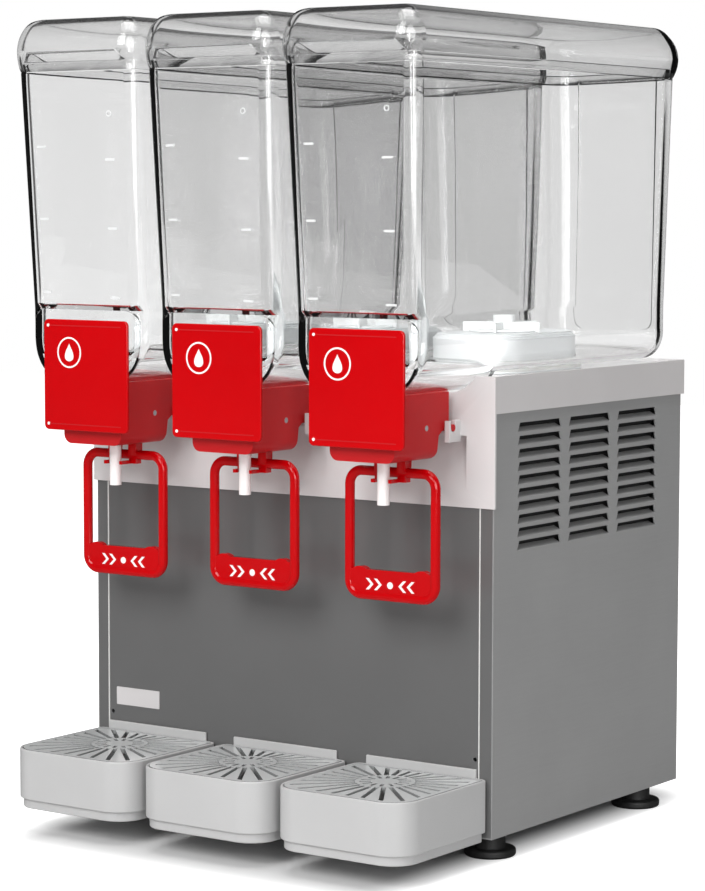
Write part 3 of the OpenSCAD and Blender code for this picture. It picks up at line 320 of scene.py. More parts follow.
class Shader(Nodes):
    """A new material with a Principled shader."""

    def __init__(self, name):
        self.material = bpy.data.materials.new(name)
        self.material.use_nodes = True
        super().__init__(self.material.node_tree)
        self.main = self.tree.nodes["Principled BSDF"]
        self.output = self.tree.nodes["Material Output"]
        self.place = self.add("ShaderNodeTexCoord").outputs["Object"]

    def noise(self, scale, stretch=(1, 1, 1)):
        """Noise in the object's own space, scale features to the metre, packed closer by stretch."""
        mapping = self.add("ShaderNodeMapping")
        mapping.inputs["Scale"].default_value = stretch
        self.link(self.place, mapping.inputs["Vector"])
        node = self.add("ShaderNodeTexNoise")
        node.inputs["Scale"].default_value = scale
        node.inputs["Detail"].default_value = NOISE_DETAIL
        self.link(mapping.outputs["Vector"], node.inputs["Vector"])
        return node.outputs["Fac"]

    def span(self, source, low, high):
        """A value stretched from the noise's usual range to low and high."""
        return self.ramp(source, *NOISE_RANGE, low, high, "LINEAR")

    def mottled(self, source, colour, amount):
        """The colour, a little darker and lighter by noise, as the shader's base colour."""
        node = self.add("ShaderNodeMix")
        node.data_type = "RGBA"
        node.inputs["A"].default_value = [c * (1 - amount) for c in colour] + [1]
        node.inputs["B"].default_value = [min(1, c * (1 + amount)) for c in colour] + [1]
        self.link(self.span(source, 0, 1), node.inputs["Factor"])
        self.link(node.outputs["Result"], self.main.inputs["Base Color"])

    def paint_shade(self, reach):
        """Paints shade into the base colour in slots and corners, as far as reach millimetres from other
        faces.
        """
        node = self.add("ShaderNodeAmbientOcclusion")
        node.samples = PAINTED_SHADE_SAMPLES
        node.inputs["Distance"].default_value = reach * MM
        base = self.main.inputs["Base Color"]
        self.link(base.links[0].from_socket, node.inputs["Color"])
        self.link(node.outputs["Color"], base)

    def bumped(self, source, height):
        """A bump of the given height in millimetres."""
        node = self.add("ShaderNodeBump")
        node.inputs["Strength"].default_value = 1.0
        node.inputs["Distance"].default_value = height * MM
        self.link(source, node.inputs["Height"])
        self.link(node.outputs["Normal"], self.main.inputs["Normal"])


def moulded(name, code, roughness, grain, height, specular=0.5, metallic=0.0, mottle=0.03, spread=0.05,
            stretch=(1, 1, 1), coarse=14, painted_shade=0):
    """A plastic, paint or metal: mottled colour, uneven gloss and a fine bump, with painted shade in slots
    and corners if asked for.
    """
    shader = Shader(name)
    cloud = shader.noise(coarse)
    fine = shader.noise(grain, stretch)
    shader.mottled(cloud, linear(code), mottle)
    if painted_shade:
        shader.paint_shade(painted_shade)
    shader.link(shader.span(fine, roughness - spread, roughness + spread), shader.main.inputs["Roughness"])
    shader.bumped(fine, height)
    shader.main.inputs["Metallic"].default_value = metallic
    shader.main.inputs["Specular IOR Level"].default_value = specular
    return shader.material


def clear_plastic(name, tint):
    """Clear polycarbonate: glassy, with a grey tint that deepens where a wall is seen along its length."""
    shader = Shader(name)
    main = shader.main
    main.inputs["Base Color"].default_value = CLEAR_COLOUR
    main.inputs["Transmission Weight"].default_value = 1.0
    main.inputs["IOR"].default_value = CLEAR_IOR
    gloss = shader.span(shader.noise(CLEAR_GRAIN), 0.0, CLEAR_ROUGHNESS)
    shader.link(gloss, main.inputs["Roughness"])
    shadow = shader.add("ShaderNodeBsdfTransparent")
    shadow.inputs["Color"].default_value = CLEAR_SHADOW
    path = shader.add("ShaderNodeLightPath")
    mix = shader.add("ShaderNodeMixShader")
    shader.link(path.outputs["Is Shadow Ray"], mix.inputs["Fac"])
    shader.link(main.outputs["BSDF"], mix.inputs[1])
    shader.link(shadow.outputs["BSDF"], mix.inputs[2])
    shader.link(mix.outputs["Shader"], shader.output.inputs["Surface"])
    volume = shader.add("ShaderNodeVolumeAbsorption")
    volume.inputs["Color"].default_value = CLEAR_GREY
    volume.inputs["Density"].default_value = tint
    shader.link(volume.outputs["Volume"], shader.output.inputs["Volume"])
    return shader.material


# For each slot: colour, roughness, features of the grain to the metre and its height in millimetres
LOOKS = {
    "red_gloss": dict(code="bb0006", roughness=0.12, grain=60, height=0.003, specular=0.3, spread=0.03),
    "red_satin": dict(code="b4191d", roughness=0.4, grain=1500, height=0.006, specular=0.2),
    "tube_rubber": dict(code="f3efee", roughness=0.4, grain=700, height=0.01),
    "cover_plastic": dict(code="cdcaca", roughness=0.45, grain=1600, height=0.02),
    "grey_sheet": dict(code="999999", roughness=0.45, grain=1, height=0.003, metallic=0.1, stretch=GRAINED),
    "brushed_front": dict(code="767676", roughness=0.3, grain=1, height=0.0005, metallic=0.4, spread=0.01,
                          stretch=BRUSHED),
    "zinc_sheet": dict(code="9fa3a6", roughness=0.4, grain=300, height=0.01, metallic=0.9, mottle=0.12,
                       coarse=60),
    "black_rubber": dict(code="161616", roughness=0.6, grain=900, height=0.05),
    "tray_plastic": dict(code="bababa", roughness=0.32, grain=1200, height=0.006),
    # The grid gets painted shade: its base colour darkens within 8 mm of other faces, in its slots and
    # corners.
    "grid_plastic": dict(code="c8caca", roughness=0.14, grain=1200, height=0.004, specular=0.7, painted_shade=8),
    "stainless": dict(code="e6e8e9", roughness=0.35, grain=900, height=0.004, metallic=0.3),
    "seal_rubber": dict(code="d9d9d6", roughness=0.55, grain=900, height=0.03),
    "motor_paint": dict(code="6d7276", roughness=0.45, grain=800, height=0.03),
    "black_paint": dict(code="191a1c", roughness=0.35, grain=600, height=0.03),
    "screw_steel": dict(code="a9acae", roughness=0.3, grain=900, height=0.01, metallic=1.0),
    "fin_aluminium": dict(code="c2c5c7", roughness=0.35, grain=800, height=0.01, metallic=1.0),
    "black_plastic": dict(code="1d1d1f", roughness=0.4, grain=1500, height=0.03),
    "white_plastic": dict(code="dcdddd", roughness=0.35, grain=1200, height=0.01),
    "pipe_copper": dict(code="b26a45", roughness=0.3, grain=500, height=0.01, metallic=1.0, mottle=0.1),
}
FINISHES = {"clear_plastic": clear_plastic("clear_plastic", BOWL_TINT)}
for slot, look in LOOKS.items():
    FINISHES[slot] = moulded(slot, **look)
LID_FINISH = clear_plastic("lid_plastic", LID_TINT)


# Sizes of the clear pieces, from their solids' boxes and the shape of the mouldings

HAIR = 0.01
OVERCUT = 1
SLIP = 0.4
BOWL_LOW, BOWL_HIGH = extent("middle_bowl")
LID_LOW, LID_HIGH = extent("middle_lid")
PLATE_LOW, PLATE_HIGH = extent("middle_front_plate")
TUBE_LOW, TUBE_HIGH = extent("middle_spout_tube")
SPOUT_Y = (TUBE_LOW.y + TUBE_HIGH.y) / 2
HALF_W = (BOWL_HIGH.x - BOWL_LOW.x) / 2
REACH_Y = BOWL_LOW.y
REAR_Y = BOWL_HIGH.y
NECK_Z = BOWL_HIGH.z
SHOULDER_Z = LID_LOW.z
SEAT_H = 4
FLOOR_Z = extent("evaporators")[0].z + SEAT_H
BOWL_WALL = 3
BOWL_SHARP = 30
BOWL_EDGE = 0.5
BOWL_EDGE_ANGLE = 40
CORNER_R = 9
INNER_CORNER_R = 12.5
REAR_R = 20
INNER_REAR_R = 25
TAPER = 4
REAR_TAPER = 3.5
LOW_W = HALF_W - TAPER
LOW_REAR_Y = REAR_Y - REAR_TAPER
FLOOR_IN = 8
FLOOR_REAR_IN = 20
FLOOR_CORNER_R = 7
FLOOR_REAR_R = 14
FILLET_H = 22
FILLET_STEPS = 12
SHOULDER_EDGE = 0.6
SHOULDER_STEP = 0.02
NECK_IN = 2.4
NECK_WALL = 2.2
NECK_BLEND = 8
NOSE_Y = PLATE_HIGH.y
NOSE_LEDGE = 4
NOSE_H = 39.5
NOSE_IN = 1
NOSE_DROP = 30
NOSE_CORNER_R = 12
NOSE_TOP_Z = FLOOR_Z + NOSE_H
NOSE_HALF_W = LOW_W - NOSE_IN
LOW_FRONT_Y = NOSE_Y - NOSE_LEDGE
FRONT_LEAN = (REACH_Y - LOW_FRONT_Y) / (SHOULDER_Z - NOSE_TOP_Z)
TROUGH_Z = BOWL_LOW.z
TROUGH_IN = 2.5
TROUGH_LAP = 6
TROUGH_R = 27
TROUGH_REAR_Y = 22
TROUGH_HALF_W = LOW_W - TROUGH_IN
TROUGH_TOP_Z = FLOOR_Z + TROUGH_LAP
OUTLET_R = 3
FLAT_HALF_W = 34
FLAT_STEP = 2.4
FLAT_UP = 20
FLAT_DOWN = 1
FLAT_R = 8
EVAPORATOR_W = 72
EVAPORATOR_L = 131
EVAPORATOR_Y = 104
SEAT_GAP = 1.0
LID_WALL = 2.2
LID_BULGE_Z = 14
LID_FLARE = 0.6
LID_FOOT = 0.5
LID_ROLL = 18
LID_STEPS = 14
LID_LEAST_R = 4
LID_CORNER_MORE = 2.5


# The clear bowl and lid

def bowl_ring(m, half_w, front, rear, z, r=CORNER_R, rear_r=REAR_R):
    """One level of a bowl, drawn in by m from the given outside."""
    return ring(half_w - m, front + m, rear - m, r - m, z, rear_r=rear_r - m)


def bowl_wall(t, front, corner_r=CORNER_R, rear_r=REAR_R):
    """Rings up one face of a bowl's wall, t inside the outside, from the floor to the top of the nose."""
    rings = []
    for k in range(FILLET_STEPS + 1):
        a = math.radians(90 * k / FILLET_STEPS)
        inset = 1 - math.sin(a)
        share = k / FILLET_STEPS
        rings.append(bowl_ring(t, LOW_W - FLOOR_IN * inset, front, LOW_REAR_Y - FLOOR_REAR_IN * inset,
                               FLOOR_Z + t + (FILLET_H - t) * (1 - math.cos(a)),
                               FLOOR_CORNER_R + (corner_r - FLOOR_CORNER_R) * share,
                               FLOOR_REAR_R + (rear_r - FLOOR_REAR_R) * share))
    rings.append(bowl_ring(t, LOW_W, front, LOW_REAR_Y, NOSE_TOP_Z, corner_r, rear_r))
    return rings


def bowl_outside():
    """The bowl as a solid block, up to the top of its neck."""
    edge = SHOULDER_EDGE
    levels = ((SHOULDER_STEP, SHOULDER_Z - 2 * edge), (0, SHOULDER_Z - edge), (edge, SHOULDER_Z),
              (NECK_IN, SHOULDER_Z), (NECK_IN, NECK_Z - edge), (NECK_IN + edge, NECK_Z))
    top = [bowl_ring(m, HALF_W, REACH_Y, REAR_Y, z) for m, z in levels]
    return loft(bowl_wall(0, LOW_FRONT_Y) + top, "bowl")


def bowl_inside():
    """The room in the bowl, from its floor past the top of its neck."""
    m = NECK_IN + NECK_WALL
    radii = (INNER_CORNER_R, INNER_REAR_R)
    levels = (SHOULDER_Z - NECK_BLEND, NECK_Z + OVERCUT)
    top = [bowl_ring(m, HALF_W, REACH_Y, REAR_Y, z, *radii) for z in levels]
    above_nose = bowl_ring(BOWL_WALL, LOW_W, LOW_FRONT_Y, LOW_REAR_Y, NOSE_TOP_Z + NOSE_LEDGE, *radii)
    return loft(bowl_wall(BOWL_WALL, NOSE_Y, *radii) + [above_nose] + top, "room")


def trough(m, y0, y1, steps=12):
    """The round-bottomed trough under the front of the bowl, with its outline drawn in by m."""
    r = TROUGH_R - m
    centre_x = TROUGH_HALF_W - TROUGH_R
    centre_z = TROUGH_Z + TROUGH_R
    last = math.asin((TROUGH_TOP_Z - centre_z) / r)
    right = []
    for k in range(steps + 1):
        a = -math.pi / 2 + (last + math.pi / 2) * k / steps
        right.append((centre_x + r * math.cos(a), centre_z + r * math.sin(a)))
    left = [(-x, z) for x, z in reversed(right)]
    return extruded(right + left, y0, y1, "trough")


def rear_flat():
    """The flat of the rear wall, which stands a little proud of the round corners on the inside."""
    low_y = LOW_REAR_Y - BOWL_WALL
    high_y = REAR_Y - NECK_IN - NECK_WALL
    lean = (high_y - low_y) / (SHOULDER_Z - NOSE_TOP_Z)
    low_z = FLOOR_Z + FLAT_UP
    y = low_y + lean * ((low_z + NECK_Z) / 2 - NOSE_TOP_Z)
    return block(-FLAT_HALF_W, FLAT_HALF_W, low_z, NECK_Z - FLAT_DOWN, FLAT_R, y - FLAT_STEP, y + OVERCUT,
                 "rear_flat", lean=lean)


def evaporator_seat():
    """The opening in the bowl's floor for the evaporator: an oblong with round ends, for cutting."""
    half_w = EVAPORATOR_W / 2 + SEAT_GAP
    half_l = EVAPORATOR_L / 2 + SEAT_GAP
    levels = (FLOOR_Z - 2 * OVERCUT, FLOOR_Z + BOWL_WALL + 2 * OVERCUT)
    return loft([ring(half_w, EVAPORATOR_Y - half_l, EVAPORATOR_Y + half_l, half_w - HAIR, z, steps=16)
                 for z in levels], "seat")


def outlet(steps=32):
    """The hole in the trough above the spout: an upright round bar, for cutting."""
    turns = [2 * math.pi * k / steps for k in range(steps)]
    levels = (TROUGH_Z - OVERCUT, TROUGH_Z + BOWL_WALL + OVERCUT)
    return loft([[(OUTLET_R * math.cos(a), SPOUT_Y + OUTLET_R * math.sin(a), z) for a in turns]
                 for z in levels], "outlet")


def bowl_mesh():
    """Clear bowl: walls that taper down, a flat nose in front for the plate and a trough for the tap."""
    nose = [(x, z) for x, z, _ in ring(NOSE_HALF_W, TROUGH_Z - NOSE_DROP, NOSE_TOP_Z, NOSE_CORNER_R, 0)]
    mesh = combined(
        bowl_outside(),
        ("UNION", trough(0, LOW_FRONT_Y, TROUGH_REAR_Y)),
        ("DIFFERENCE", extruded(nose, REACH_Y, NOSE_Y, "recess")),
        ("DIFFERENCE", bowl_inside()),
        ("UNION", rear_flat()),
        ("DIFFERENCE", trough(BOWL_WALL, NOSE_Y + BOWL_WALL + SLIP, TROUGH_REAR_Y - BOWL_WALL)),
        ("DIFFERENCE", evaporator_seat()),
        ("DIFFERENCE", outlet()),
    )
    mesh.shade_smooth()
    mesh.set_sharp_from_angle(angle=math.radians(BOWL_SHARP))
    return mesh


def lid_mesh():
    """Clear lid: a skirt that swells over the shoulder and rolls into a flat top."""
    bulge = (LID_HIGH.x - LID_LOW.x) / 2 - HALF_W
    end = REACH_Y - LID_LOW.y
    height = LID_HIGH.z - SHOULDER_Z
    neck = SLIP - NECK_IN
    foot = neck + LID_FOOT

    def outline(m, e, z, more_r=0):
        """A ring at z above the shoulder, m wider and e longer than the bowl at each side."""
        return ring(HALF_W + m, REACH_Y - e, REAR_Y + e, max(LID_LEAST_R, CORNER_R + e) + more_r,
                    SHOULDER_Z + z, rear_r=max(LID_LEAST_R, REAR_R + min(e, 0)) + more_r)

    def roll(t, more_r=0):
        """Rings from the lid's widest line up to its top, t inside the outside."""
        rings = []
        for k in range(LID_STEPS + 1):
            a = math.radians(90 * k / LID_STEPS)
            d = LID_ROLL * (1 - math.cos(a)) + t
            z = LID_BULGE_Z + (height - t - LID_BULGE_Z) * math.sin(a)
            rings.append(outline(bulge - d, end - d, z, more_r))
        return rings

    skirt = []
    for k in range(LID_STEPS // 2):
        a = math.radians(90 * k / (LID_STEPS // 2))
        rise = LID_FLARE * (1 - math.cos(a)) + (1 - LID_FLARE) * math.sin(a)
        skirt.append(outline(bulge * math.sin(a), end * math.sin(a), LID_BULGE_Z * rise))
    under = [outline(neck, neck, NECK_Z - SHOULDER_Z + SLIP), outline(neck, neck, LID_FOOT),
             outline(foot, foot, 0)]
    return loft(roll(LID_WALL, LID_CORNER_MORE)[::-1] + under + skirt + roll(0), "lid")


# Marks on the bowls, front plates and levers; sunk is how far a mark reaches into its wall

MARK_EDGE = 0.2
MARK_SUNK = 0.2
LEVEL_SUNK = 0.3
TICK_ROWS = (
    ((-38, -30), (54, 106, 159)),
    ((26, 35), (63.5, 112.5, 162)),
)
TICK_HALF_H = 0.8
TICK_R = 0.6
TICK_PROUD = 0.35
RING_MARK_X = 31
RING_MARK_DOWN = 31
RING_MARK_R = 2.2
RING_MARK_LINE = 0.7
RING_MARK_PROUD = 0.3
PLATE_Y = PLATE_LOW.y
PLATE_HALF_W = (PLATE_HIGH.x - PLATE_LOW.x) / 2
SIGN_IN = 24.5
SIGN_DOWN = 24
SIGN_R = 11.3
SIGN_LINE = 1.2
SIGN_PROUD = 0.25
DROP_HALF_W = 4.4
DROP_HALF_H = 6.4
DROP_SWELL = 1.3
DROP_POINT = 1.5
PIN_IN = 4.5
PIN_R = 1.1
PIN_PROUD = 0.5
PIN_EDGE = 0.3
PIN_HEIGHTS = (PLATE_LOW.z + PIN_IN, PLATE_HIGH.z - PIN_IN)
LINE_LEFT = 6.5
LINE_RIGHT = 6
LINE_HALF_H = 0.4
LINE_PROUD = 0.06
LEVER_LOW = extent("middle_lever")[0]
PUSH_IN = 11.5
PUSH_UP = 11.5
PUSH_Y = LEVER_LOW.y + PUSH_IN
PUSH_Z = LEVER_LOW.z + PUSH_UP
PUSH_PROUD = 0.2
CHEVRON_STEP = 7
CHEVRON_HALF_H = 4
CHEVRON_STROKE = 2.4
DOT_R = 2.4


def front_wall_y(z):
    """Depth of a bowl's front wall at a height."""
    return LOW_FRONT_Y + FRONT_LEAN * (z - NOSE_TOP_Z)


def level_marks():
    """Pale moulded ticks on the front wall, by their distance under the shoulder, and one small ring."""
    marks = []
    for (x0, x1), drops in TICK_ROWS:
        for drop in drops:
            z = SHOULDER_Z - drop
            y = front_wall_y(z)
            marks.append(block(x0, x1, z - TICK_HALF_H, z + TICK_HALF_H, TICK_R, y - TICK_PROUD,
                               y + LEVEL_SUNK, "tick", MARK_EDGE, FRONT_LEAN))
    z = SHOULDER_Z - RING_MARK_DOWN
    y = front_wall_y(z)
    marks.append(annulus(RING_MARK_X, z, RING_MARK_R, RING_MARK_LINE, y - RING_MARK_PROUD, y + LEVEL_SUNK,
                         "ring_mark"))
    return joined(marks, "level_marks")


def drop_outline(x, z, steps=40):
    """Outline of a plain drop, pointed at the top."""
    points = []
    for k in range(steps):
        t = 2 * math.pi * k / steps
        width = DROP_HALF_W * DROP_SWELL * math.sin(t / 2) ** DROP_POINT
        points.append((x + width * math.sin(t), z + DROP_HALF_H * math.cos(t)))
    return points


def plate_marks():
    """A white ring with a drop on the front plate, and the white heads of two pins."""
    back = PLATE_Y + MARK_SUNK
    sign_x = SIGN_IN - PLATE_HALF_W
    sign_z = PLATE_HIGH.z - SIGN_DOWN
    meshes = [
        annulus(sign_x, sign_z, SIGN_R, SIGN_LINE, PLATE_Y - SIGN_PROUD, back, "ring"),
        extruded(drop_outline(sign_x, sign_z), PLATE_Y - SIGN_PROUD, back, "drop"),
    ]
    for z in PIN_HEIGHTS:
        head = disc(PIN_IN - PLATE_HALF_W, z, PIN_R, steps=6)
        meshes.append(extruded(head, PLATE_Y - PIN_PROUD, back, "pin", PIN_EDGE))
    return joined(meshes, "plate_marks")


def plate_grooves():
    """Fine lines near the plate's top and bottom edges, where the moulding steps."""
    lines = []
    for z in PIN_HEIGHTS:
        lines.append(block(LINE_LEFT - PLATE_HALF_W, PLATE_HALF_W - LINE_RIGHT, z - LINE_HALF_H,
                           z + LINE_HALF_H, LINE_HALF_H - HAIR, PLATE_Y - LINE_PROUD, PLATE_Y + MARK_SUNK,
                           "line"))
    return joined(lines, "plate_grooves")


def lever_marks():
    """Chevrons that point from both sides to a dot, on the push plate."""
    front = PUSH_Y - PUSH_PROUD
    back = PUSH_Y + MARK_SUNK
    low = PUSH_Z - CHEVRON_HALF_H
    high = PUSH_Z + CHEVRON_HALF_H
    marks = []
    for way in (-1, 1):
        stroke = way * CHEVRON_STROKE
        for k in range(2):
            tip = way * CHEVRON_STEP * (1 + k)
            tail = tip + way * CHEVRON_HALF_H
            outline = [(tip, PUSH_Z), (tail, high), (tail + stroke, high), (tip + stroke, PUSH_Z),
                       (tail + stroke, low), (tail, low)]
            marks.append(extruded(outline, front, back, "chevron"))
    marks.append(extruded(disc(0, PUSH_Z, DOT_R, steps=8), front, back, "dot"))
    return joined(marks, "lever_marks")


# Cabinet and controls; each edge has the width of its rounding in millimetres, and its segments

EDGES = {
    "top_cover": (1.2, 3), "front_panel": (1.0, 3), "left_side_panel": (0.45, 2),
    "right_side_panel": (0.45, 2), "rear_panel": (0.45, 2), "feet": (1.0, 2), "evaporators": (1.6, 3),
    "thermostat_knob": (0.7, 2), "switch_frame": (0.6, 2), "switch_rocker": (0.6, 2),
    "cord_gland": (0.5, 2),
}
SIDE_EDGES = {
    "tap_housing": (1.4, 3), "front_plate": (0.9, 3), "drip_tray": (1.3, 3), "drip_grid": (0.6, 2),
    "lever": (0.8, 2), "impeller": (0.4, 2),
}
PANEL_LOW, PANEL_HIGH = extent("front_panel")
SIDE_LOW, SIDE_HIGH = extent("right_side_panel")
BADGE_X = (-160.5, -119)
BADGE_Z = (81, 94.5)
BADGE_R = 0.4
BADGE_PROUD = 0.5
BADGE_SUNK = 0.1
SEAM_IN = 0.5
SEAM_UP = 1
SEAM_HIGH_Z = extent("top_cover")[0].z
# Pale strips along the front panel's side seams: painted highlights of the bent sheet's edges
HIGHLIGHT_HALF_W = 0.45
HIGHLIGHT_R = 0.4
HIGHLIGHT_PROUD = 0.5
HIGHLIGHT_SUNK = 0.2
FOLD_IN = 0.8
FOLD_R = 0.3
FOLD_PROUD = 0.25
FOLD_SUNK = 0.1
FOLD_EDGE = 0.1
BLADE_REACH = 6.2
# A black sheet behind each side panel's louvres: painted shade, put where the openings show only shade
SHADE_SHEET_GAP = 0.8
SHADE_SHEET_T = 1.7
SHADE_SHEET_LOW_Z = 214
SHADE_SHEET_HIGH_Z = 314
SHADE_SHEET_FRONT_Y = 26
SHADE_SHEET_REAR_Y = 233

for node, source in frame["nodes"].items():
    source.data.materials.clear()
    source.data.materials.append(FINISHES[SLOTS[node]])
for node, (width, segments) in EDGES.items():
    softened(node, width, segments)

badge = block(*BADGE_X, *BADGE_Z, BADGE_R, -BADGE_PROUD, BADGE_SUNK, "badge", MARK_EDGE)
piece("badge_plate", placed(badge), CABINET, "cover_plastic")
for way in (-1, 1):
    seam_x = way * (PANEL_HIGH.x - SEAM_IN)
    # A pale strip on each side seam is a painted highlight of the sheet's bent edge.
    edge_highlight = block(seam_x - HIGHLIGHT_HALF_W, seam_x + HIGHLIGHT_HALF_W, PANEL_LOW.z + SEAM_UP, SEAM_HIGH_Z, HIGHLIGHT_R,
                 -HIGHLIGHT_PROUD, HIGHLIGHT_SUNK, "edge_highlight", MARK_EDGE)
    piece("seam_edge_highlight", placed(edge_highlight), CABINET, "seal_rubber")
    fold_x = sorted((way * PANEL_HIGH.x, way * (SIDE_HIGH.x - FOLD_IN)))
    fold = block(*fold_x, SIDE_LOW.z + SEAM_UP, SEAM_HIGH_Z, FOLD_R, SIDE_LOW.y - FOLD_PROUD,
                 SIDE_LOW.y + FOLD_SUNK, "fold", FOLD_EDGE)
    piece("fold_face", placed(fold), CABINET, "brushed_front")
    # Painted shade: a black sheet just inside the louvre blades darkens the openings.
    shade_sheet_face = SIDE_HIGH.x - BLADE_REACH - SHADE_SHEET_GAP
    x0, x1 = sorted((way * (shade_sheet_face - SHADE_SHEET_T), way * shade_sheet_face))
    outline = [(x0, SHADE_SHEET_LOW_Z), (x1, SHADE_SHEET_LOW_Z), (x1, SHADE_SHEET_HIGH_Z), (x0, SHADE_SHEET_HIGH_Z)]
    shade_sheet = extruded(outline, SHADE_SHEET_FRONT_Y, SHADE_SHEET_REAR_Y, "shade_sheet")
    piece("louvre_shade_sheet", placed(shade_sheet), CABINET, "black_rubber")


# The three bowls with their taps, lids and trays

for side in SIDES:
    x = middle_x(side)
    unit = side + "_bowl_unit"
    bowl = piece(side + "_clear_bowl", placed(bowl_mesh(), x), unit, "clear_plastic", side + "_bowl")
    soft_edges(bowl, BOWL_EDGE, angle=BOWL_EDGE_ANGLE)
    lid = piece(side + "_clear_lid", placed(lid_mesh(), x), side + "_lid_unit", "clear_plastic",
                side + "_lid")
    lid.data.materials[0] = LID_FINISH
    for part, (width, segments) in SIDE_EDGES.items():
        softened(side + "_" + part, width, segments)
    piece(side + "_level_marks", placed(level_marks(), x), unit, "white_plastic")
    piece(side + "_plate_marks", placed(plate_marks(), x), unit, "tube_rubber")
    piece(side + "_plate_grooves", placed(plate_grooves(), x), unit, "red_satin")
    piece(side + "_lever_marks", placed(lever_marks(), x), side + "_lever_unit", "tube_rubber")


# Floor, world, lights and camera, in metres

WHITE = (1, 1, 1, 1)
FLOOR_SIZE = 8.0
FLOOR_TONE = (0.7, 0.7, 0.7)
FLOOR_GRAIN = 3
FLOOR_MOTTLE = 0.01
FLOOR_ROUGHNESS = 0.9
# Painted reflection: the grey that mirrors and glass see instead of the white floor
FLOOR_PAINTED_DARK_IN_MIRRORS = 0.12
# The floor's glow starts at the object's box, drawn in at the sides, and is full white this far off: painted
# light that cuts the object's shadow short.
GLOW_FOOTPRINT_IN = Vector((0.045, 0, 0))
GLOW_RAMP_REACH = 0.06
BACKDROP_AXIS = (-0.577, 0.816, 0)
BACKDROP_SPAN = (0.55, 0.92)
BACKDROP_HEIGHT = (0.25, 0.65)
BACKDROP_DARK = 0.06
CORNER_LIGHT_AXIS = (0.76, -0.59, 0.27)
CORNER_LIGHT_SPAN = (0.90, 0.94)
CORNER_LIGHT = 5.0
ROOM_SPAN = (-0.25, 0.35)
ROOM_TONES = (0.12, 0.03)
AMBIENT = 0.32
LIGHT_AIM = (0, 0, 0.3)
LIGHTS = {
    "key": dict(place=(0.2, -2.6, 1.9), width=1.5, height=1.5, watts=62),
    "top": dict(place=(0.2, -0.2, 2.4), width=1.6, height=1.6, watts=34),
    "fill": dict(place=(2.1, -2.2, 0.8), width=0.4, height=1.1, watts=20),
}
CAMERA_AZIMUTH = 35.257
CAMERA_ELEVATION = 4.896
CAMERA_ROLL = 0.106
CAMERA_LENS = 116.44
CAMERA_SENSOR = 36
CAMERA_X = 1.2435
CAMERA_AHEAD = 1.6753
CAMERA_Z = 0.466
BOUNCES = 24


def seen_white(nodes, in_mirror=1.0):
    """1 for rays that look straight or through glass, in_mirror in a mirror, and 0 for light on things."""
    path = nodes.add("ShaderNodeLightPath")
    mirrored = nodes.value("MULTIPLY", path.outputs["Is Glossy Ray"], in_mirror)
    direct = nodes.value("MAXIMUM", path.outputs["Is Camera Ray"], mirrored)
    return nodes.value("MAXIMUM", direct, path.outputs["Is Transmission Ray"])


def floor():
    """A floor that shows the object's real shadow close to it and glows plain white further off, where the
    glow is painted light over the shadow.
    """
    bm = bmesh.new()
    bmesh.ops.create_grid(bm, x_segments=4, y_segments=4, size=FLOOR_SIZE / 2)
    obj = linked("floor", mesh_of(bm, "floor"))
    shader = Shader("floor")
    main = shader.main
    base = main.inputs["Base Color"]
    shader.mottled(shader.noise(FLOOR_GRAIN), FLOOR_TONE, FLOOR_MOTTLE)
    # Painted reflection: for rays from mirrors the floor's colour, and below its glow, turn dark grey,
    # darker than the floor really is.
    tone = shader.add("ShaderNodeMix")
    tone.data_type = "RGBA"
    shader.link(base.links[0].from_socket, tone.inputs["A"])
    tone.inputs["B"].default_value = (FLOOR_PAINTED_DARK_IN_MIRRORS, FLOOR_PAINTED_DARK_IN_MIRRORS, FLOOR_PAINTED_DARK_IN_MIRRORS, 1)
    shader.link(shader.add("ShaderNodeLightPath").outputs["Is Glossy Ray"], tone.inputs["Factor"])
    shader.link(tone.outputs["Result"], base)
    main.inputs["Roughness"].default_value = FLOOR_ROUGHNESS
    main.inputs["Specular IOR Level"].default_value = 0.0
    main.inputs["Emission Color"].default_value = WHITE
    low, high = CAD_BOX
    steps = (("SUBTRACT", (low + high) / 2), ("ABSOLUTE", None), ("SUBTRACT", (high - low) / 2 - GLOW_FOOTPRINT_IN),
             ("MAXIMUM", (0, 0, 0)), ("LENGTH", None))
    outside = shader.place
    for operation, vector in steps:
        node = shader.add("ShaderNodeVectorMath")
        node.operation = operation
        shader.link(outside, node.inputs[0])
        if vector is not None:
            node.inputs[1].default_value = vector
        outside = node.outputs["Value" if operation == "LENGTH" else "Vector"]
    # Painted light: away from the object the floor glows white over its shadow; near it only lamplight and
    # real shadow show.
    painted_white_glow = shader.ramp(outside, 0, GLOW_RAMP_REACH, 0, 1)
    strength = shader.value("MULTIPLY", painted_white_glow, seen_white(shader, FLOOR_PAINTED_DARK_IN_MIRRORS))
    shader.link(strength, main.inputs["Emission Strength"])
    obj.data.materials.append(shader.material)


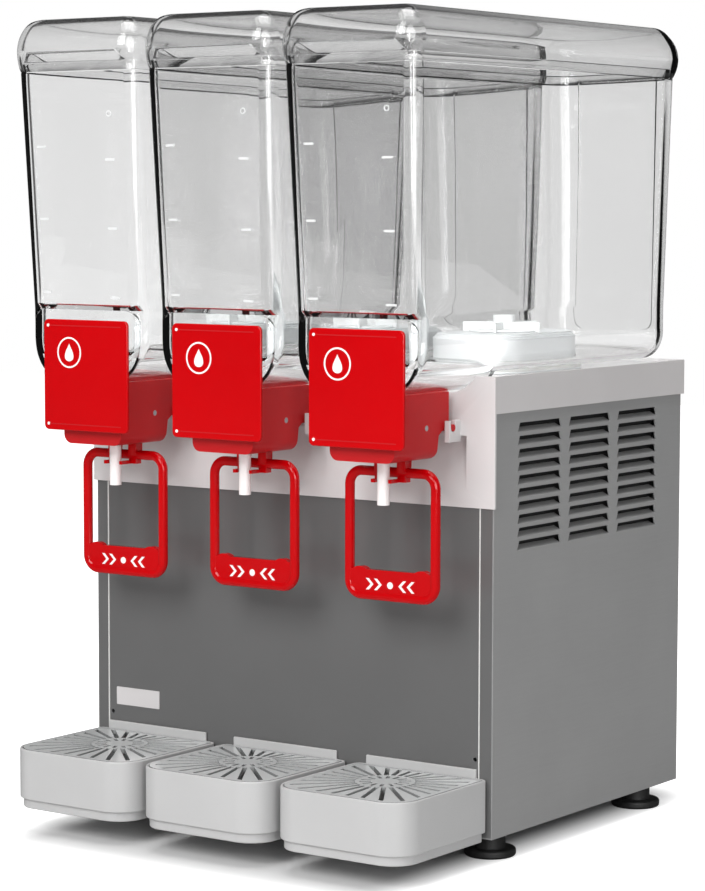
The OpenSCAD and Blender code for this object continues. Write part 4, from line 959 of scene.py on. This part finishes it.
def studio():
    """White where it is looked at; darker at the sides and in mirrors, which draws the glass's edges."""
    world = bpy.data.worlds.new("studio")
    bpy.context.scene.world = world
    world.use_nodes = True
    nodes = Nodes(world.node_tree)
    nodes.tree.nodes.clear()
    place = nodes.add("ShaderNodeTexCoord").outputs["Generated"]
    axes = nodes.add("ShaderNodeSeparateXYZ")
    nodes.link(place, axes.inputs["Vector"])
    path = nodes.add("ShaderNodeLightPath")

    def along(axis):
        """How far a direction points along an axis."""
        node = nodes.add("ShaderNodeVectorMath")
        node.operation = "DOT_PRODUCT"
        node.inputs[1].default_value = axis
        nodes.link(place, node.inputs[0])
        return node.outputs["Value"]

    walls = nodes.ramp(nodes.value("ABSOLUTE", along(BACKDROP_AXIS)), *BACKDROP_SPAN, 0, 1)
    low = nodes.ramp(axes.outputs["Z"], *BACKDROP_HEIGHT, 1, 0)
    backdrop = nodes.ramp(nodes.value("MULTIPLY", walls, low), 0, 1, BACKDROP_DARK, 1)
    corner_light = nodes.ramp(along(CORNER_LIGHT_AXIS), *CORNER_LIGHT_SPAN, 0, CORNER_LIGHT)
    room = nodes.ramp(axes.outputs["Y"], *ROOM_SPAN, *ROOM_TONES)
    mirrored = nodes.value("ADD", room, corner_light)
    through_glass = nodes.value("MULTIPLY", backdrop, path.outputs["Is Transmission Ray"])
    in_mirror = nodes.value("MULTIPLY", mirrored, path.outputs["Is Glossy Ray"])
    indirect = nodes.value("MAXIMUM", through_glass, in_mirror)
    ambient = nodes.add("ShaderNodeBackground")
    ambient.inputs["Strength"].default_value = AMBIENT
    white = nodes.add("ShaderNodeBackground")
    for node in (ambient, white):
        node.inputs["Color"].default_value = WHITE
    nodes.link(nodes.value("MAXIMUM", indirect, path.outputs["Is Camera Ray"]), white.inputs["Strength"])
    mix = nodes.add("ShaderNodeMixShader")
    output = nodes.add("ShaderNodeOutputWorld")
    nodes.link(seen_white(nodes), mix.inputs["Fac"])
    nodes.link(ambient.outputs["Background"], mix.inputs[1])
    nodes.link(white.outputs["Background"], mix.inputs[2])
    nodes.link(mix.outputs["Shader"], output.inputs["Surface"])


def softbox(name, place, width, height, watts):
    """An area light that points at the object's middle."""
    light = bpy.data.lights.new(name, "AREA")
    light.shape = "RECTANGLE"
    light.size = width
    light.size_y = height
    light.energy = watts
    obj = linked(name, light)
    obj.location = place
    obj.rotation_euler = (Vector(LIGHT_AIM) - Vector(place)).to_track_quat("-Z", "Y").to_euler()


def camera():
    """The photograph's viewpoint, solved from the cabinet's and bowls' corners."""
    azimuth = math.radians(CAMERA_AZIMUTH)
    elevation = math.radians(CAMERA_ELEVATION)
    data = bpy.data.cameras.new("camera")
    data.lens = CAMERA_LENS
    data.sensor_width = CAMERA_SENSOR
    obj = linked("camera", data)
    back = Vector((math.sin(azimuth) * math.cos(elevation), -math.cos(azimuth) * math.cos(elevation),
                   math.sin(elevation)))
    turn = back.to_track_quat("Z", "Y").to_matrix().to_4x4()
    eye = Vector((CAMERA_X, FRONT_Y - CAMERA_AHEAD, CAMERA_Z))
    roll = Matrix.Rotation(math.radians(CAMERA_ROLL), 4, "Z")
    obj.matrix_world = Matrix.Translation(eye) @ turn @ roll
    bpy.context.scene.camera = obj


floor()
studio()
for name, light in LIGHTS.items():
    softbox(name, **light)
camera()
scene = bpy.context.scene
scene.view_settings.view_transform = "Standard"
scene.cycles.max_bounces = BOUNCES
scene.cycles.transmission_bounces = BOUNCES
scene.cycles.transparent_max_bounces = BOUNCES
